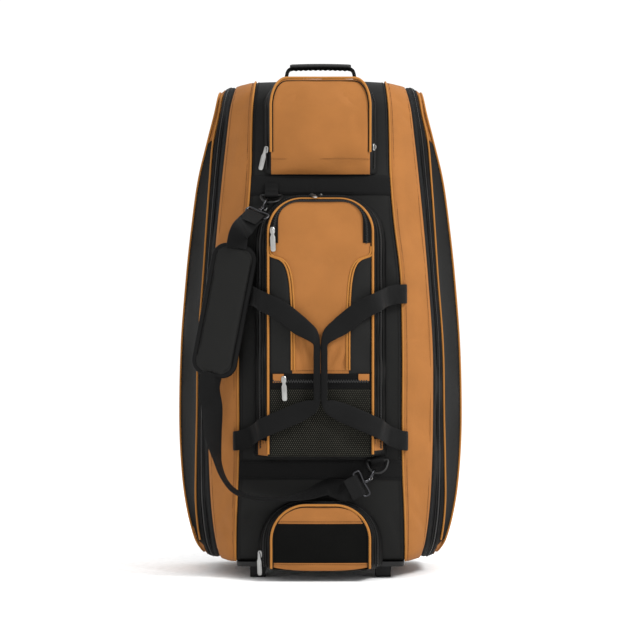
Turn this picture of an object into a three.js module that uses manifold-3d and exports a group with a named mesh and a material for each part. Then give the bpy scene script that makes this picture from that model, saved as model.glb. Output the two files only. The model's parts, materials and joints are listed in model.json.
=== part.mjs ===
// Rolling kit bag for baseball gear, standing on end: a tall soft body with full-height side pockets,
// three front pockets, webbing carry handles, a padded shoulder strap and two wheels.
// Millimetres, +Z up, front towards -Y.
import * as THREE from "three";
import { mergeVertices } from "three/addons/utils/BufferGeometryUtils.js";
import Module from "manifold-3d";

const wasm = await Module();
wasm.setup();

// Body
const bodyTop = 888; // top of the body above the floor
const bodyBase = 31; // underside of the fabric above the floor
const bodyDepth = 300;
const halfWidth = 256.5; // at the widest point of the side pockets
const wall = 2.4; // fabric with its foam backing
const gap = 0.3; // clearance between neighbouring pieces
const frontBulge = 12; // how far the full bag swells forward
const sideBow = 50; // how far the side gusset sets the side panel back
const pipingRadius = 1.9;
const webbing = 1.8; // thickness of every woven strap

// Webbing
const bandWidth = 34;
const upperBandAt = 0.7855 * bodyTop; // height of its middle
const lowerBandAt = 0.2185 * bodyTop;
const handleWidth = 34;
const handleGripWidth = 14;
const handleGripThick = 5;
const strapWidth = 38;

// Front pockets
const topPocketHalf = 90;
const topPocketBottom = upperBandAt + bandWidth / 2 + 1.5;
const topPocketWrap = 27; // degrees that the top pocket runs over the top edge
const topPocketDepth = 40;
const topPocketLip = 8; // depth at its sewn-down lower edge
const frontPocketHalf = 118;
const frontPocketTop = upperBandAt - bandWidth / 2 - 2.5;
const frontPocketBottom = lowerBandAt + bandWidth / 2 + 7;
const frontPocketDepth = 50;
const meshTop = 0.3815 * bodyTop; // top edge of the mesh, where its zip runs
const meshZipWidth = 27;
const bottomPocketHalf = 110;
const bottomPocketTop = 0.1565 * bodyTop;
const bottomPocketBottom = 24;
const bottomPocketDepth = 48;
const pocketFlare = 24; // how much wider a pocket is at the panel than at its face, a side
const pocketWall = 2.2;
const pocketCrown = 8;

// Shoulder pad
const padLength = 235;
const padWidth = 80;
const padThick = 11;

// Rings and hooks
const ringOut = 9.5; // how far a ring's bar stands off the panel
const ringWidth = 36;
const ringDrop = 25;
const ringWire = 2.4; // radius
const hookWire = 1.8; // radius
const hookLoopHalf = 10;

// Haul handle
const haulSpan = 132; // between its two anchors
const haulRise = 30; // underside of the grip above the top panel
const haulGripLength = 112;
const haulGripWidth = 28;
const haulGripThick = 12;
const haulStrapWidth = 20;
const haulStrapThick = 2 * webbing; // doubled
const haulY = -10;

// Base and wheels
const baseThick = 8.4;
const baseInset = 1.6; // from the body's seam
const wheelRadius = 35;
const wheelWidth = 30;
const wheelInset = 38.6; // from the body's seam to the wheel's middle
const wheelY = bodyDepth / 2 - 32;
const axleRadius = 4;
const axleClearance = 0.08;
const wheelClearance = 3.5; // round the tyre
const wheelSideClearance = 1.5;
const cheek = 7; // side walls of a wheel housing
const footWidth = 27;
const footLength = 46;
const footY = 50 - bodyDepth / 2;

// Zip pulls
const pullLength = 34;
const pullWidth = 9;
const pullThick = 1.8;

// The seams that run round the bag, from the centre line out to the edge of the side panel. Each holds how
// far its loop is set in from the body's front, back, top and base, and its corner radii, as shares of the
// body's depth, and its share of the front's swell.
const RAILS = [
  { name: "centre", front: 0, back: 0, top: 0, base: 0, topRound: 0.15, baseRound: 0.04, bulge: 1 },
  {
    name: "seam", front: 0.013, back: 0.005, top: 0.013, base: 0,
    topRound: 0.15, baseRound: 0.04, bulge: 1,
  },
  {
    name: "zipInner", front: 0.133, back: 0.03, top: 0.03, base: 0.01,
    topRound: 0.15, baseRound: 0.07, bulge: 0.7,
  },
  {
    name: "zipOuter", front: 0.3, back: 0.1, top: 0.025, base: 0,
    topRound: 0.155, baseRound: 0.1, bulge: 0.3,
  },
  {
    name: "outline", front: 0.31, back: 0.16, top: 0.045, base: 0.02,
    topRound: 0.16, baseRound: 0.12, bulge: 0,
  },
];

// Half widths of those seams up the body, as shares of halfWidth, and the share of sideBow. "at" is the
// share of the body's height.
const SECTIONS = [
  { at: 0.0, seam: 0.587, zipInner: 0.7, zipOuter: 0.8, outline: 0.81, bow: 0 },
  { at: 0.037, seam: 0.587, zipInner: 0.735, zipOuter: 0.848, outline: 0.882, bow: 0.1 },
  { at: 0.109, seam: 0.581, zipInner: 0.766, zipOuter: 0.876, outline: 0.948, bow: 0.45 },
  { at: 0.19, seam: 0.569, zipInner: 0.781, zipOuter: 0.876, outline: 0.984, bow: 0.75 },
  { at: 0.29, seam: 0.566, zipInner: 0.788, zipOuter: 0.869, outline: 1.0, bow: 0.95 },
  { at: 0.443, seam: 0.567, zipInner: 0.786, zipOuter: 0.86, outline: 0.99, bow: 1 },
  { at: 0.595, seam: 0.552, zipInner: 0.752, zipOuter: 0.823, outline: 0.951, bow: 0.9 },
  { at: 0.697, seam: 0.511, zipInner: 0.723, zipOuter: 0.801, outline: 0.912, bow: 0.7 },
  { at: 0.797, seam: 0.483, zipInner: 0.69, zipOuter: 0.778, outline: 0.862, bow: 0.4 },
  { at: 0.879, seam: 0.477, zipInner: 0.66, zipOuter: 0.754, outline: 0.793, bow: 0.1 },
  { at: 0.939, seam: 0.471, zipInner: 0.636, zipOuter: 0.712, outline: 0.741, bow: 0 },
  { at: 0.98, seam: 0.458, zipInner: 0.606, zipOuter: 0.69, outline: 0.716, bow: 0 },
  { at: 1.0, seam: 0.45, zipInner: 0.586, zipOuter: 0.67, outline: 0.697, bow: 0 },
];

// Colours of the fabrics and fittings
const MATERIALS = {
  tan: { color: 0xc08449, roughness: 0.85, metalness: 0 },
  black: { color: 0x262624, roughness: 0.85, metalness: 0 },
  web: { color: 0x151514, roughness: 0.9, metalness: 0 },
  mesh: { color: 0x23231f, roughness: 0.95, metalness: 0 },
  plastic: { color: 0x1b1b1b, roughness: 0.5, metalness: 0 },
  rubber: { color: 0x1d1d1d, roughness: 0.8, metalness: 0 },
  metal: { color: 0xb9bab8, roughness: 0.3, metalness: 1 },
};

const bag = new THREE.Group();
const lerp = THREE.MathUtils.lerp;
const clamp = THREE.MathUtils.clamp;
const bodyHeight = bodyTop - bodyBase;
const bodyFront = -bodyDepth / 2;

function add(name, material, geometry) {
  const mesh = new THREE.Mesh(geometry, new THREE.MeshStandardMaterial(MATERIALS[material]));
  mesh.name = name;
  bag.add(mesh);
}

// Closed meshes from grids and sweeps

function closedMesh(positions, triangles) {
  let volume = 0;
  const at = (i) => new THREE.Vector3().fromArray(positions, 3 * i);
  for (let i = 0; i < triangles.length; i += 3)
    volume += at(triangles[i]).dot(at(triangles[i + 1]).cross(at(triangles[i + 2])));
  if (volume < 0) triangles.reverse();
  const geometry = new THREE.BufferGeometry();
  geometry.setAttribute("position", new THREE.Float32BufferAttribute(positions, 3));
  geometry.setIndex(triangles);
  geometry.computeVertexNormals();
  return geometry;
}

// A sheet with thickness: outer and inner are grids [row][column] of points, joined round their rim.
function sheet(outer, inner) {
  const rows = outer.length;
  const columns = outer[0].length;
  const positions = [];
  for (const p of [...outer.flat(), ...inner.flat()]) positions.push(p.x, p.y, p.z);
  const index = (layer, i, j) => layer * rows * columns + i * columns + j;
  const triangles = [];
  const quad = (a, b, c, d) => triangles.push(a, b, c, a, c, d);
  for (let i = 0; i + 1 < rows; i++)
    for (let j = 0; j + 1 < columns; j++) {
      quad(index(0, i, j), index(0, i + 1, j), index(0, i + 1, j + 1), index(0, i, j + 1));
      quad(index(1, i, j), index(1, i, j + 1), index(1, i + 1, j + 1), index(1, i + 1, j));
    }
  for (let i = 0; i + 1 < rows; i++) {
    quad(index(0, i, 0), index(1, i, 0), index(1, i + 1, 0), index(0, i + 1, 0));
    const last = columns - 1;
    quad(index(0, i, last), index(0, i + 1, last), index(1, i + 1, last), index(1, i, last));
  }
  for (let j = 0; j + 1 < columns; j++) {
    quad(index(0, 0, j), index(0, 0, j + 1), index(1, 0, j + 1), index(1, 0, j));
    const last = rows - 1;
    quad(index(0, last, j), index(1, last, j), index(1, last, j + 1), index(0, last, j + 1));
  }
  return closedMesh(positions, triangles);
}

// A solid whose cross-sections are the given rings of points, open with flat ends or closed on itself.
function skin(rings, closed) {
  const n = rings[0].length;
  const positions = rings.flat().flatMap((p) => [p.x, p.y, p.z]);
  const triangles = [];
  const spans = closed ? rings.length : rings.length - 1;
  for (let i = 0; i < spans; i++)
    for (let k = 0; k < n; k++) {
      const a = i * n + k;
      const b = i * n + ((k + 1) % n);
      const c = ((i + 1) % rings.length) * n + ((k + 1) % n);
      const d = ((i + 1) % rings.length) * n + k;
      triangles.push(a, b, c, a, c, d);
    }
  if (!closed) {
    const last = (rings.length - 1) * n;
    for (let k = 1; k + 1 < n; k++) {
      triangles.push(0, k + 1, k);
      triangles.push(last, last + k, last + k + 1);
    }
  }
  return closedMesh(positions, triangles);
}

// Sweeps a section along points. facing[i] is the way the section's b axis points there, and section(i) its
// corners [a, b], with a across.
function sweep(points, facing, section, closed = false) {
  const n = points.length;
  const rings = points.map((p, i) => {
    const before = points[closed ? (i + n - 1) % n : Math.max(i - 1, 0)];
    const after = points[closed ? (i + 1) % n : Math.min(i + 1, n - 1)];
    const along = after.clone().sub(before).normalize();
    const across = along.clone().cross(facing[i]).normalize();
    const out = across.clone().cross(along).normalize();
    return section(i).map(([a, b]) => p.clone().addScaledVector(across, a).addScaledVector(out, b));
  });
  return skin(rings, closed);
}

function roundSection(radius, sides, lift = 0) {
  return Array.from({ length: sides }, (_, k) => {
    const turn = (2 * Math.PI * (k + 0.5)) / sides;
    return [radius * Math.cos(turn), lift + radius * Math.sin(turn)];
  });
}

function flatSection(width, thick, lift = 0) {
  return [
    [-width / 2, lift],
    [width / 2, lift],
    [width / 2, lift + thick],
    [-width / 2, lift + thick],
  ];
}

function smoothPoints(points, count) {
  return new THREE.CatmullRomCurve3(points, false, "centripetal").getSpacedPoints(count);
}

// Solids for cutting and joining

function toSolid(geometry) {
  const bare = geometry.clone();
  for (const name of ["normal", "uv"]) bare.deleteAttribute(name);
  const merged = mergeVertices(bare, 1e-3);
  return new wasm.Manifold(
    new wasm.Mesh({
      numProp: 3,
      vertProperties: new Float32Array(merged.attributes.position.array),
      triVerts: new Uint32Array(merged.index.array),
    }),
  );
}

function fromSolid(solid) {
  const { numProp, vertProperties, triVerts } = solid.getMesh();
  const positions = [];
  for (let i = 0; i < vertProperties.length; i += numProp)
    positions.push(...vertProperties.subarray(i, i + 3));
  const geometry = new THREE.BufferGeometry();
  geometry.setAttribute("position", new THREE.Float32BufferAttribute(positions, 3));
  geometry.setIndex([...triVerts]);
  geometry.computeVertexNormals();
  return geometry;
}

function join(...geometries) {
  return fromSolid(geometries.map(toSolid).reduce((a, b) => a.add(b)));
}

function cut(geometry, ...tools) {
  return fromSolid(tools.map(toSolid).reduce((a, b) => a.subtract(b), toSolid(geometry)));
}

function block(x0, x1, y0, y1, z0, z1) {
  const box = new THREE.BoxGeometry(x1 - x0, y1 - y0, z1 - z0);
  return box.translate((x0 + x1) / 2, (y0 + y1) / 2, (z0 + z1) / 2);
}

function rodAlongX(radius, length, x, y, z, sides) {
  return new THREE.CylinderGeometry(radius, radius, length, sides)
    .rotateZ(Math.PI / 2)
    .translate(x, y, z);
}

// The body's outer surface. u counts the seams outwards from the centre line and is negative on the left. t
// runs round the bag: 0 to 1 under it, 2 to 3 up the front, 4 to 5 over the top, 6 to 7 down the back, with
// corners between.

function smoothColumn(rows, key, at) {
  let i = rows.findIndex((row) => row.at >= at);
  if (i < 0) i = rows.length - 1;
  if (i === 0) i = 1;
  const [p, q] = [rows[i - 1], rows[i]];
  const s = clamp((at - p.at) / (q.at - p.at), 0, 1);
  const step = q.at - p.at;
  const slope = (k) => {
    const a = rows[Math.max(k - 1, 0)];
    const b = rows[Math.min(k + 1, rows.length - 1)];
    return (b[key] - a[key]) / (b.at - a.at);
  };
  const [m0, m1] = [slope(i - 1) * step, slope(i) * step];
  return (
    p[key] * (2 * s ** 3 - 3 * s ** 2 + 1) +
    m0 * (s ** 3 - 2 * s ** 2 + s) +
    q[key] * (3 * s ** 2 - 2 * s ** 3) +
    m1 * (s ** 3 - s ** 2)
  );
}

function railValue(key, u) {
  const last = RAILS.length - 1;
  const value = (k) => RAILS[Math.min(Math.abs(k), last)][key];
  const i = Math.min(Math.floor(u), last - 1);
  const s = u - i;
  const [a, b, c, d] = [value(i - 1), value(i), value(i + 1), value(i + 2)];
  const [m0, m1] = [(c - a) / 2, (d - b) / 2];
  return (
    b * (2 * s ** 3 - 3 * s ** 2 + 1) +
    m0 * (s ** 3 - 2 * s ** 2 + s) +
    c * (3 * s ** 2 - 2 * s ** 3) +
    m1 * (s ** 3 - s ** 2)
  );
}

function heightShare(z) {
  return clamp((z - bodyBase) / bodyHeight, 0, 1);
}

function halfAt(u, z) {
  const at = heightShare(z);
  const i = Math.min(Math.floor(u), RAILS.length - 2);
  const width = (k) => (k === 0 ? 0 : smoothColumn(SECTIONS, RAILS[k].name, at) * halfWidth);
  return lerp(width(i), width(i + 1), u - i);
}

function swell(z) {
  return frontBulge * Math.sin(Math.PI * heightShare(z)) ** 0.8;
}

function bodyPoint(u, t) {
  const side = Math.min(Math.abs(u), RAILS.length - 1);
  const inset = (key) => railValue(key, side) * bodyDepth;
  const [front, back] = [bodyFront + inset("front"), -bodyFront - inset("back")];
  const [top, base] = [bodyTop - inset("top"), bodyBase + inset("base")];
  const [rTop, rBase] = [inset("topRound"), inset("baseRound")];
  const leg = Math.floor(t) % 8;
  const s = t - Math.floor(t);
  const turn = (s * Math.PI) / 2;
  const [sin, cos] = [Math.sin(turn), Math.cos(turn)];
  let y, z;
  if (leg === 0) [y, z] = [lerp(back - rBase, front + rBase, s), base];
  else if (leg === 1) [y, z] = [front + rBase * (1 - sin), base + rBase * (1 - cos)];
  else if (leg === 2) [y, z] = [front, lerp(base + rBase, top - rTop, s)];
  else if (leg === 3) [y, z] = [front + rTop * (1 - cos), top - rTop * (1 - sin)];
  else if (leg === 4) [y, z] = [lerp(front + rTop, back - rTop, s), top];
  else if (leg === 5) [y, z] = [back - rTop * (1 - sin), top - rTop * (1 - cos)];
  else if (leg === 6) [y, z] = [back, lerp(top - rTop, base + rBase, s)];
  else [y, z] = [back - rBase * (1 - cos), base + rBase * (1 - sin)];
  const x = halfAt(side, z) * Math.sign(u);
  const ahead = clamp(Math.min(t, 5 - t), 0, 1);
  y -= ahead * swell(z) * railValue("bulge", side);
  y += ahead * clamp(side - 3, 0, 1) * smoothColumn(SECTIONS, "bow", heightShare(z)) * sideBow;
  return new THREE.Vector3(x, y, z);
}

function bodyNormal(u, t) {
  const edge = RAILS.length - 1;
  const [du, dt] = [0.02, 0.01];
  const across = bodyPoint(Math.min(u + du, edge), t).sub(bodyPoint(Math.max(u - du, -edge), t));
  const along = bodyPoint(u, (t + dt) % 8).sub(bodyPoint(u, (t + 8 - dt) % 8));
  const normal = across.cross(along).normalize();
  if (Math.abs(u) > edge - du) normal.add(new THREE.Vector3(Math.sign(u), 0, 0)).normalize();
  return normal;
}

// Sample places round the bag, the same for every piece, so that neighbours meet along the same edges.
const LEG_STEPS = [1, 2, 10, 3, 1, 3, 10, 2];
const STATIONS = LEG_STEPS.flatMap((steps, leg) => Array.from({ length: steps }, (_, k) => leg + k / steps));
STATIONS.push(LEG_STEPS.length);

function stationsBetween(t0, t1) {
  return [t0, ...STATIONS.filter((t) => t > t0 + 1e-6 && t < t1 - 1e-6), t1];
}

// One sewn panel of the body between two seams and two stations, set in from each by half the gap.
function bodyPanel(u0, u1, t0, t1, columns) {
  const stations = stationsBetween(t0, t1);
  const outer = [];
  const inner = [];
  for (let i = 0; i <= columns; i++) {
    const u = lerp(u0, u1, i / columns);
    const rows = stations.map((t, j) => {
      const p = bodyPoint(u, t);
      const normal = bodyNormal(u, t);
      const towards = (v, s) => bodyPoint(v, s).sub(p).setLength(gap / 2);
      if (i === 0) p.add(towards(u + (u1 > u0 ? 0.02 : -0.02), t));
      if (i === columns) p.add(towards(u - (u1 > u0 ? 0.02 : -0.02), t));
      if (j === 0) p.add(towards(u, t + 0.01));
      if (j === stations.length - 1) p.add(towards(u, t - 0.01));
      return [p, p.clone().addScaledVector(normal, -wall)];
    });
    outer.push(rows.map((r) => r[0]));
    inner.push(rows.map((r) => r[1]));
  }
  return sheet(outer, inner);
}

// The large outer panel of a side pocket: rows run from the front edge of its loop to the back edge.
function sidePanel(side) {
  const edge = side * (RAILS.length - 1);
  const columns = 4;
  const rows = stationsBetween(1, 4);
  const outer = [];
  const inner = [];
  rows.forEach((t, i) => {
    const [front, back] = [bodyPoint(edge, t), bodyPoint(edge, 9 - t)];
    const normals = [bodyNormal(edge, t), bodyNormal(edge, 9 - t)];
    const vertical = i === 0 ? gap / 2 : i === rows.length - 1 ? -gap / 2 : 0;
    const points = Array.from({ length: columns + 1 }, (_, k) => {
      const p = front.clone().lerp(back, k / columns);
      const shift = k === 0 ? gap / 2 : k === columns ? -gap / 2 : 0;
      return p.add(new THREE.Vector3(0, shift, vertical));
    });
    outer.push(points);
    inner.push(
      points.map((p, k) => {
        const rim = k === 0 ? normals[0] : k === columns ? normals[1] : null;
        const flat = new THREE.Vector3(side, 0, 0);
        if (i === 0 || i === rows.length - 1) flat.copy(bodyNormal(edge, i === 0 ? 0.5 : 4.5));
        return p.clone().addScaledVector(rim ?? flat, -wall);
      }),
    );
  });
  return sheet(outer, inner);
}

// A round cord sewn along a seam, outside the surface.
function piping(u, t0, t1) {
  const closed = t1 - t0 >= LEG_STEPS.length;
  let stations = stationsBetween(t0, t1);
  if (closed) stations = stations.slice(0, -1);
  const normals = stations.map((t) => bodyNormal(u, t));
  const lift = pipingRadius * Math.SQRT1_2 + 1.2 * gap;
  const points = stations.map((t, i) => bodyPoint(u, t).addScaledVector(normals[i], lift));
  return sweep(points, normals, () => roundSection(pipingRadius, 4), closed);
}

function addBody() {
  add("front_panel", "black", bodyPanel(-1, 1, 1, 5, 4));
  const cutter = housingBlock(gap);
  const back = bodyPanel(-2, 2, 5, 8, 8);
  add("back_panel", "black", cut(back, cutter(-1), cutter(1)));
  for (const [side, word] of [
    [-1, "left"],
    [1, "right"],
  ]) {
    add(`front_band_${word}`, "tan", bodyPanel(side, 2 * side, 0, 5, 2));
    add(`zip_band_${word}`, "black", bodyPanel(2 * side, 3 * side, 0, 5, 2));
    add(`side_gusset_${word}`, "black", bodyPanel(3 * side, 4 * side, 0, 5, 2));
    add(`rear_gusset_${word}`, "black", bodyPanel(2 * side, 4 * side, 5, 8, 4));
    add(`side_panel_${word}`, "tan", sidePanel(side));
    add(`seam_piping_${word}`, "tan", piping(side, 1.4, 4.9));
    add(`zip_piping_${word}`, "tan", piping(3 * side, 2.0, 3.5));
    add(`outline_piping_${word}`, "tan", piping(4 * side, 0, 8));
  }
}

// Places on the front: x across, s up the front and then over the top edge, d out from the panel.

const topRadius = RAILS[0].topRound * bodyDepth;
const frontRunTop = bodyTop - topRadius;

function frontY(x, z) {
  const [seam, zip] = [halfAt(1, z), halfAt(2, z)];
  const u = Math.abs(x) < seam ? Math.abs(x) / seam : 1 + (Math.abs(x) - seam) / (zip - seam);
  return bodyFront + railValue("front", u) * bodyDepth - swell(z) * railValue("bulge", u);
}

function onFront(x, s, d) {
  const z = Math.min(s, frontRunTop);
  const turn = Math.max(0, s - frontRunTop) / topRadius;
  const y = frontY(x, z) + topRadius * (1 - Math.cos(turn)) - d * Math.cos(turn);
  return new THREE.Vector3(x, y, z + (topRadius + d) * Math.sin(turn));
}

// The closed outline of an arched pocket, from its foot up and round, as [x, s] points. Two outlines made
// with the same counts match point for point.
function archOutline({ half, bottom, top, radius, foot }) {
  const points = [];
  const corner = (x, s, r, from, steps) => {
    for (let k = 0; k <= steps; k++) {
      const turn = ((from + (90 * k) / steps) * Math.PI) / 180;
      points.push([x + r * Math.cos(turn), s + r * Math.sin(turn)]);
    }
  };
  const rise = (x, s0, s1, steps) => {
    for (let k = 1; k < steps; k++) points.push([x, lerp(s0, s1, k / steps)]);
  };
  const across = (s, x0, x1, steps) => {
    for (let k = 1; k < steps; k++) points.push([lerp(x0, x1, k / steps), s]);
  };
  corner(half - foot, bottom + foot, foot, -90, 1);
  rise(half, bottom + foot, top - radius, 6);
  corner(half - radius, top - radius, radius, 0, 5);
  across(top, half - radius, radius - half, 2);
  corner(-half + radius, top - radius, radius, 90, 5);
  rise(-half, top - radius, bottom + foot, 6);
  corner(-half + foot, bottom + foot, foot, 180, 1);
  across(bottom, foot - half, half - foot, 4);
  return points;
}

// The outline's heights between two limits, and its half width at one of them.
function archHeights(outline, s0, s1, more) {
  const right = archOutline(outline).filter(([x]) => x > 0);
  const between = [...right.map((p) => p[1]), ...more].filter((s) => s > s0 + 1 && s < s1 - 1);
  return [s0, ...between.sort((a, b) => a - b), s1];
}

function archHalf(outline, s) {
  const right = archOutline(outline).filter(([x]) => x > 0);
  const i = clamp(
    right.findIndex((p) => p[1] >= s),
    1,
    right.length - 1,
  );
  const [[x0, s0], [x1, s1]] = [right[i - 1], right[i]];
  return lerp(x0, x1, s1 > s0 ? clamp((s - s0) / (s1 - s0), 0, 1) : 0);
}

function crownOf(outline, x, s) {
  const across = 1 - Math.min(1, (x / outline.half) ** 2);
  const up = Math.sin(Math.PI * clamp((s - outline.bottom) / (outline.top - outline.bottom), 0, 1));
  return pocketCrown * across * up;
}

// The wall round a pocket, from its outline on the panel to its outline at the face.
function pocketGusset(base, face, depthAt) {
  const [lower, upper] = [archOutline(base), archOutline(face)];
  const n = lower.length;
  const inward = (outline, i) => {
    const [ax, as] = outline[(i + n - 1) % n];
    const [bx, bs] = outline[(i + 1) % n];
    const length = Math.hypot(bx - ax, bs - as);
    return [(-(bs - as) / length) * pocketWall, ((bx - ax) / length) * pocketWall];
  };
  const rings = lower.map(([x0, s0], i) => {
    const [x1, s1] = upper[i];
    const rim = depthAt(s1) - pocketWall - gap;
    const [ix0, is0] = inward(lower, i);
    const [ix1, is1] = inward(upper, i);
    return [
      onFront(x0, s0, 2 * gap),
      onFront(x1, s1, rim),
      onFront(x1 + ix1, s1 + is1, rim),
      onFront(x0 + ix0, s0 + is0, 2 * gap),
    ];
  });
  return skin(rings, true);
}

// Part of a pocket's face between two heights and two side edges, given as x at a height.
function facePiece(outline, depthAt, left, right, s0, s1, columns, more = []) {
  const outer = [];
  const inner = [];
  for (const s of archHeights(outline, s0, s1, more)) {
    const line = Array.from({ length: columns + 1 }, (_, k) => {
      const x = lerp(left(s), right(s), k / columns);
      const d = depthAt(s) + crownOf(outline, x, s);
      return [onFront(x, s, d), onFront(x, s, d - pocketWall)];
    });
    outer.push(line.map((l) => l[0]));
    inner.push(line.map((l) => l[1]));
  }
  return sheet(outer, inner);
}

// The cord along a pocket's edge, from a height on the left over the top to the same height on the right.
function pocketPiping(face, depthAt, fromHeight) {
  const outline = archOutline(face).filter(([, s]) => s >= fromHeight);
  outline.push([face.half, fromHeight]);
  outline.unshift([-face.half, fromHeight]);
  const path = outline.filter(([x]) => x > 0).sort((a, b) => a[1] - b[1] || b[0] - a[0]);
  const arc = [...path, ...path.map(([x, s]) => [-x, s]).reverse()];
  const reach = pipingRadius + gap;
  const points = arc.map(([x, s]) => {
    const turn = Math.atan2(s - (face.top - face.radius), Math.abs(x) - (face.half - face.radius));
    const round = s > face.top - face.radius ? clamp(turn, 0, Math.PI / 2) : 0;
    const outX = Math.sign(x) * Math.cos(round) * 0.8 * reach;
    return onFront(x + outX, s + Math.sin(round) * 0.8 * reach, depthAt(s) + 0.6 * reach);
  });
  const facing = points.map(() => new THREE.Vector3(0, -1, 0));
  return sweep(points, facing, () => roundSection(pipingRadius, 4));
}

const topPocketTop = frontRunTop + (topPocketWrap * Math.PI * topRadius) / 180;
const TOP_BASE = {
  half: 1.13 * topPocketHalf,
  bottom: topPocketBottom,
  top: topPocketTop,
  radius: 0.31 * topPocketHalf,
  foot: 0.055 * topPocketHalf,
};
const TOP_FACE = { ...TOP_BASE, half: topPocketHalf };
const FRONT_BASE = {
  half: frontPocketHalf,
  bottom: frontPocketBottom,
  top: frontPocketTop,
  radius: 0.72 * frontPocketHalf,
  foot: 0.25 * pocketFlare,
};
const FRONT_FACE = {
  half: frontPocketHalf - pocketFlare,
  bottom: frontPocketBottom + 0.12 * pocketFlare,
  top: frontPocketTop - 0.46 * pocketFlare,
  radius: 0.5 * frontPocketHalf,
  foot: 0.25 * pocketFlare,
};
const BOTTOM_BASE = {
  half: bottomPocketHalf,
  bottom: bottomPocketBottom,
  top: bottomPocketTop,
  radius: 0.69 * bottomPocketHalf,
  foot: 0.25 * pocketFlare,
};
const BOTTOM_FACE = {
  half: bottomPocketHalf - pocketFlare,
  bottom: bottomPocketBottom - 0.16 * pocketFlare,
  top: bottomPocketTop - 0.16 * pocketFlare,
  radius: 0.55 * bottomPocketHalf,
  foot: 0.25 * pocketFlare,
};

function topDepth(s) {
  const slope = clamp((s - topPocketBottom) / (TOP_BASE.top - TOP_BASE.radius - topPocketBottom), 0, 1);
  return lerp(topPocketLip, topPocketDepth, slope ** 0.7);
}

function addTopPocket() {
  const depthAt = topDepth;
  const edge = (s) => archHalf(TOP_FACE, s);
  add("top_pocket_gusset", "black", pocketGusset(TOP_BASE, TOP_FACE, depthAt));
  add(
    "top_pocket_face",
    "tan",
    facePiece(TOP_FACE, depthAt, (s) => -edge(s), edge, topPocketBottom, topPocketTop, 4),
  );
  add("top_pocket_piping", "tan", pocketPiping(TOP_FACE, depthAt, lerp(topPocketBottom, topPocketTop, 0.26)));
}

// Half width of the tan centre panel of the front pocket, which narrows below its shoulders, as a share of
// the face's. "at" is the share of the height from the mesh pocket's zip to the top.
const YOKE = [
  { at: 0, half: 0.52 },
  { at: 0.35, half: 0.53 },
  { at: 0.52, half: 0.55 },
  { at: 0.59, half: 0.61 },
  { at: 0.65, half: 0.71 },
  { at: 0.695, half: 0.85 },
  { at: 0.74, half: 1 },
  { at: 1, half: 1 },
];
const insertTop = 0.695; // where the black inserts end, below the shoulders

function addFrontPocket() {
  const depthAt = () => frontPocketDepth;
  const zipTop = meshTop + meshZipWidth;
  const edge = (s) => archHalf(FRONT_FACE, s);
  const height = FRONT_FACE.top - zipTop;
  const yoke = (s) => Math.min(smoothColumn(YOKE, "half", (s - zipTop) / height), 1) * edge(s);
  const breaks = YOKE.map((row) => zipTop + row.at * height);
  add("front_pocket_gusset", "black", pocketGusset(FRONT_BASE, FRONT_FACE, depthAt));
  const half = (s) => yoke(s) - (s < zipTop + insertTop * height + gap ? gap / 2 : 0);
  add(
    "front_pocket_face",
    "tan",
    facePiece(FRONT_FACE, depthAt, (s) => -half(s), half, zipTop + gap, FRONT_FACE.top, 6, breaks),
  );
  for (const [side, word] of [
    [-1, "left"],
    [1, "right"],
  ]) {
    const inner = (s) => side * (yoke(s) + gap / 2);
    const outer = (s) => side * edge(s);
    const top = zipTop + insertTop * height;
    const piece = facePiece(FRONT_FACE, depthAt, inner, outer, zipTop + gap, top, 2, breaks);
    add(`front_pocket_insert_${word}`, "black", piece);
  }
  add(
    "mesh_pocket_zip",
    "black",
    facePiece(FRONT_FACE, depthAt, (s) => -edge(s), edge, meshTop + gap, zipTop, 4),
  );
  add(
    "mesh_pocket",
    "mesh",
    facePiece(FRONT_FACE, depthAt, (s) => -edge(s), edge, FRONT_FACE.bottom, meshTop, 4),
  );
  add("front_pocket_piping", "tan", pocketPiping(FRONT_FACE, depthAt, FRONT_FACE.bottom + FRONT_FACE.foot));
}

function addBottomPocket() {
  const depthAt = () => bottomPocketDepth;
  const edge = (s) => archHalf(BOTTOM_FACE, s);
  const left = (s) => -edge(s);
  const [hem, seam] = [0.12, 0.72].map((share) => lerp(BOTTOM_FACE.bottom, BOTTOM_FACE.top, share));
  add("bottom_pocket_gusset", "black", pocketGusset(BOTTOM_BASE, BOTTOM_FACE, depthAt));
  add(
    "bottom_pocket_face",
    "tan",
    facePiece(BOTTOM_FACE, depthAt, left, edge, seam + gap, BOTTOM_FACE.top, 4),
  );
  add("bottom_pocket_mesh", "mesh", facePiece(BOTTOM_FACE, depthAt, left, edge, hem + gap, seam, 4));
  add("bottom_pocket_hem", "tan", facePiece(BOTTOM_FACE, depthAt, left, edge, BOTTOM_FACE.bottom, hem, 4));
  const foot = BOTTOM_FACE.bottom + BOTTOM_FACE.foot;
  add("bottom_pocket_piping", "tan", pocketPiping(BOTTOM_FACE, depthAt, foot));
}

function addBands() {
  for (const [name, at] of [
    ["upper_band", upperBandAt],
    ["lower_band", lowerBandAt],
  ]) {
    const rows = [at - bandWidth / 2, at + bandWidth / 2];
    const columns = 12;
    const grid = (d) =>
      rows.map((s) =>
        Array.from({ length: columns + 1 }, (_, k) => {
          const reach = halfAt(1, s) - pipingRadius - gap;
          return onFront(lerp(-reach, reach, k / columns), s, d);
        }),
      );
    add(name, "web", sheet(grid(gap + webbing), grid(gap)));
  }
}

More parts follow.
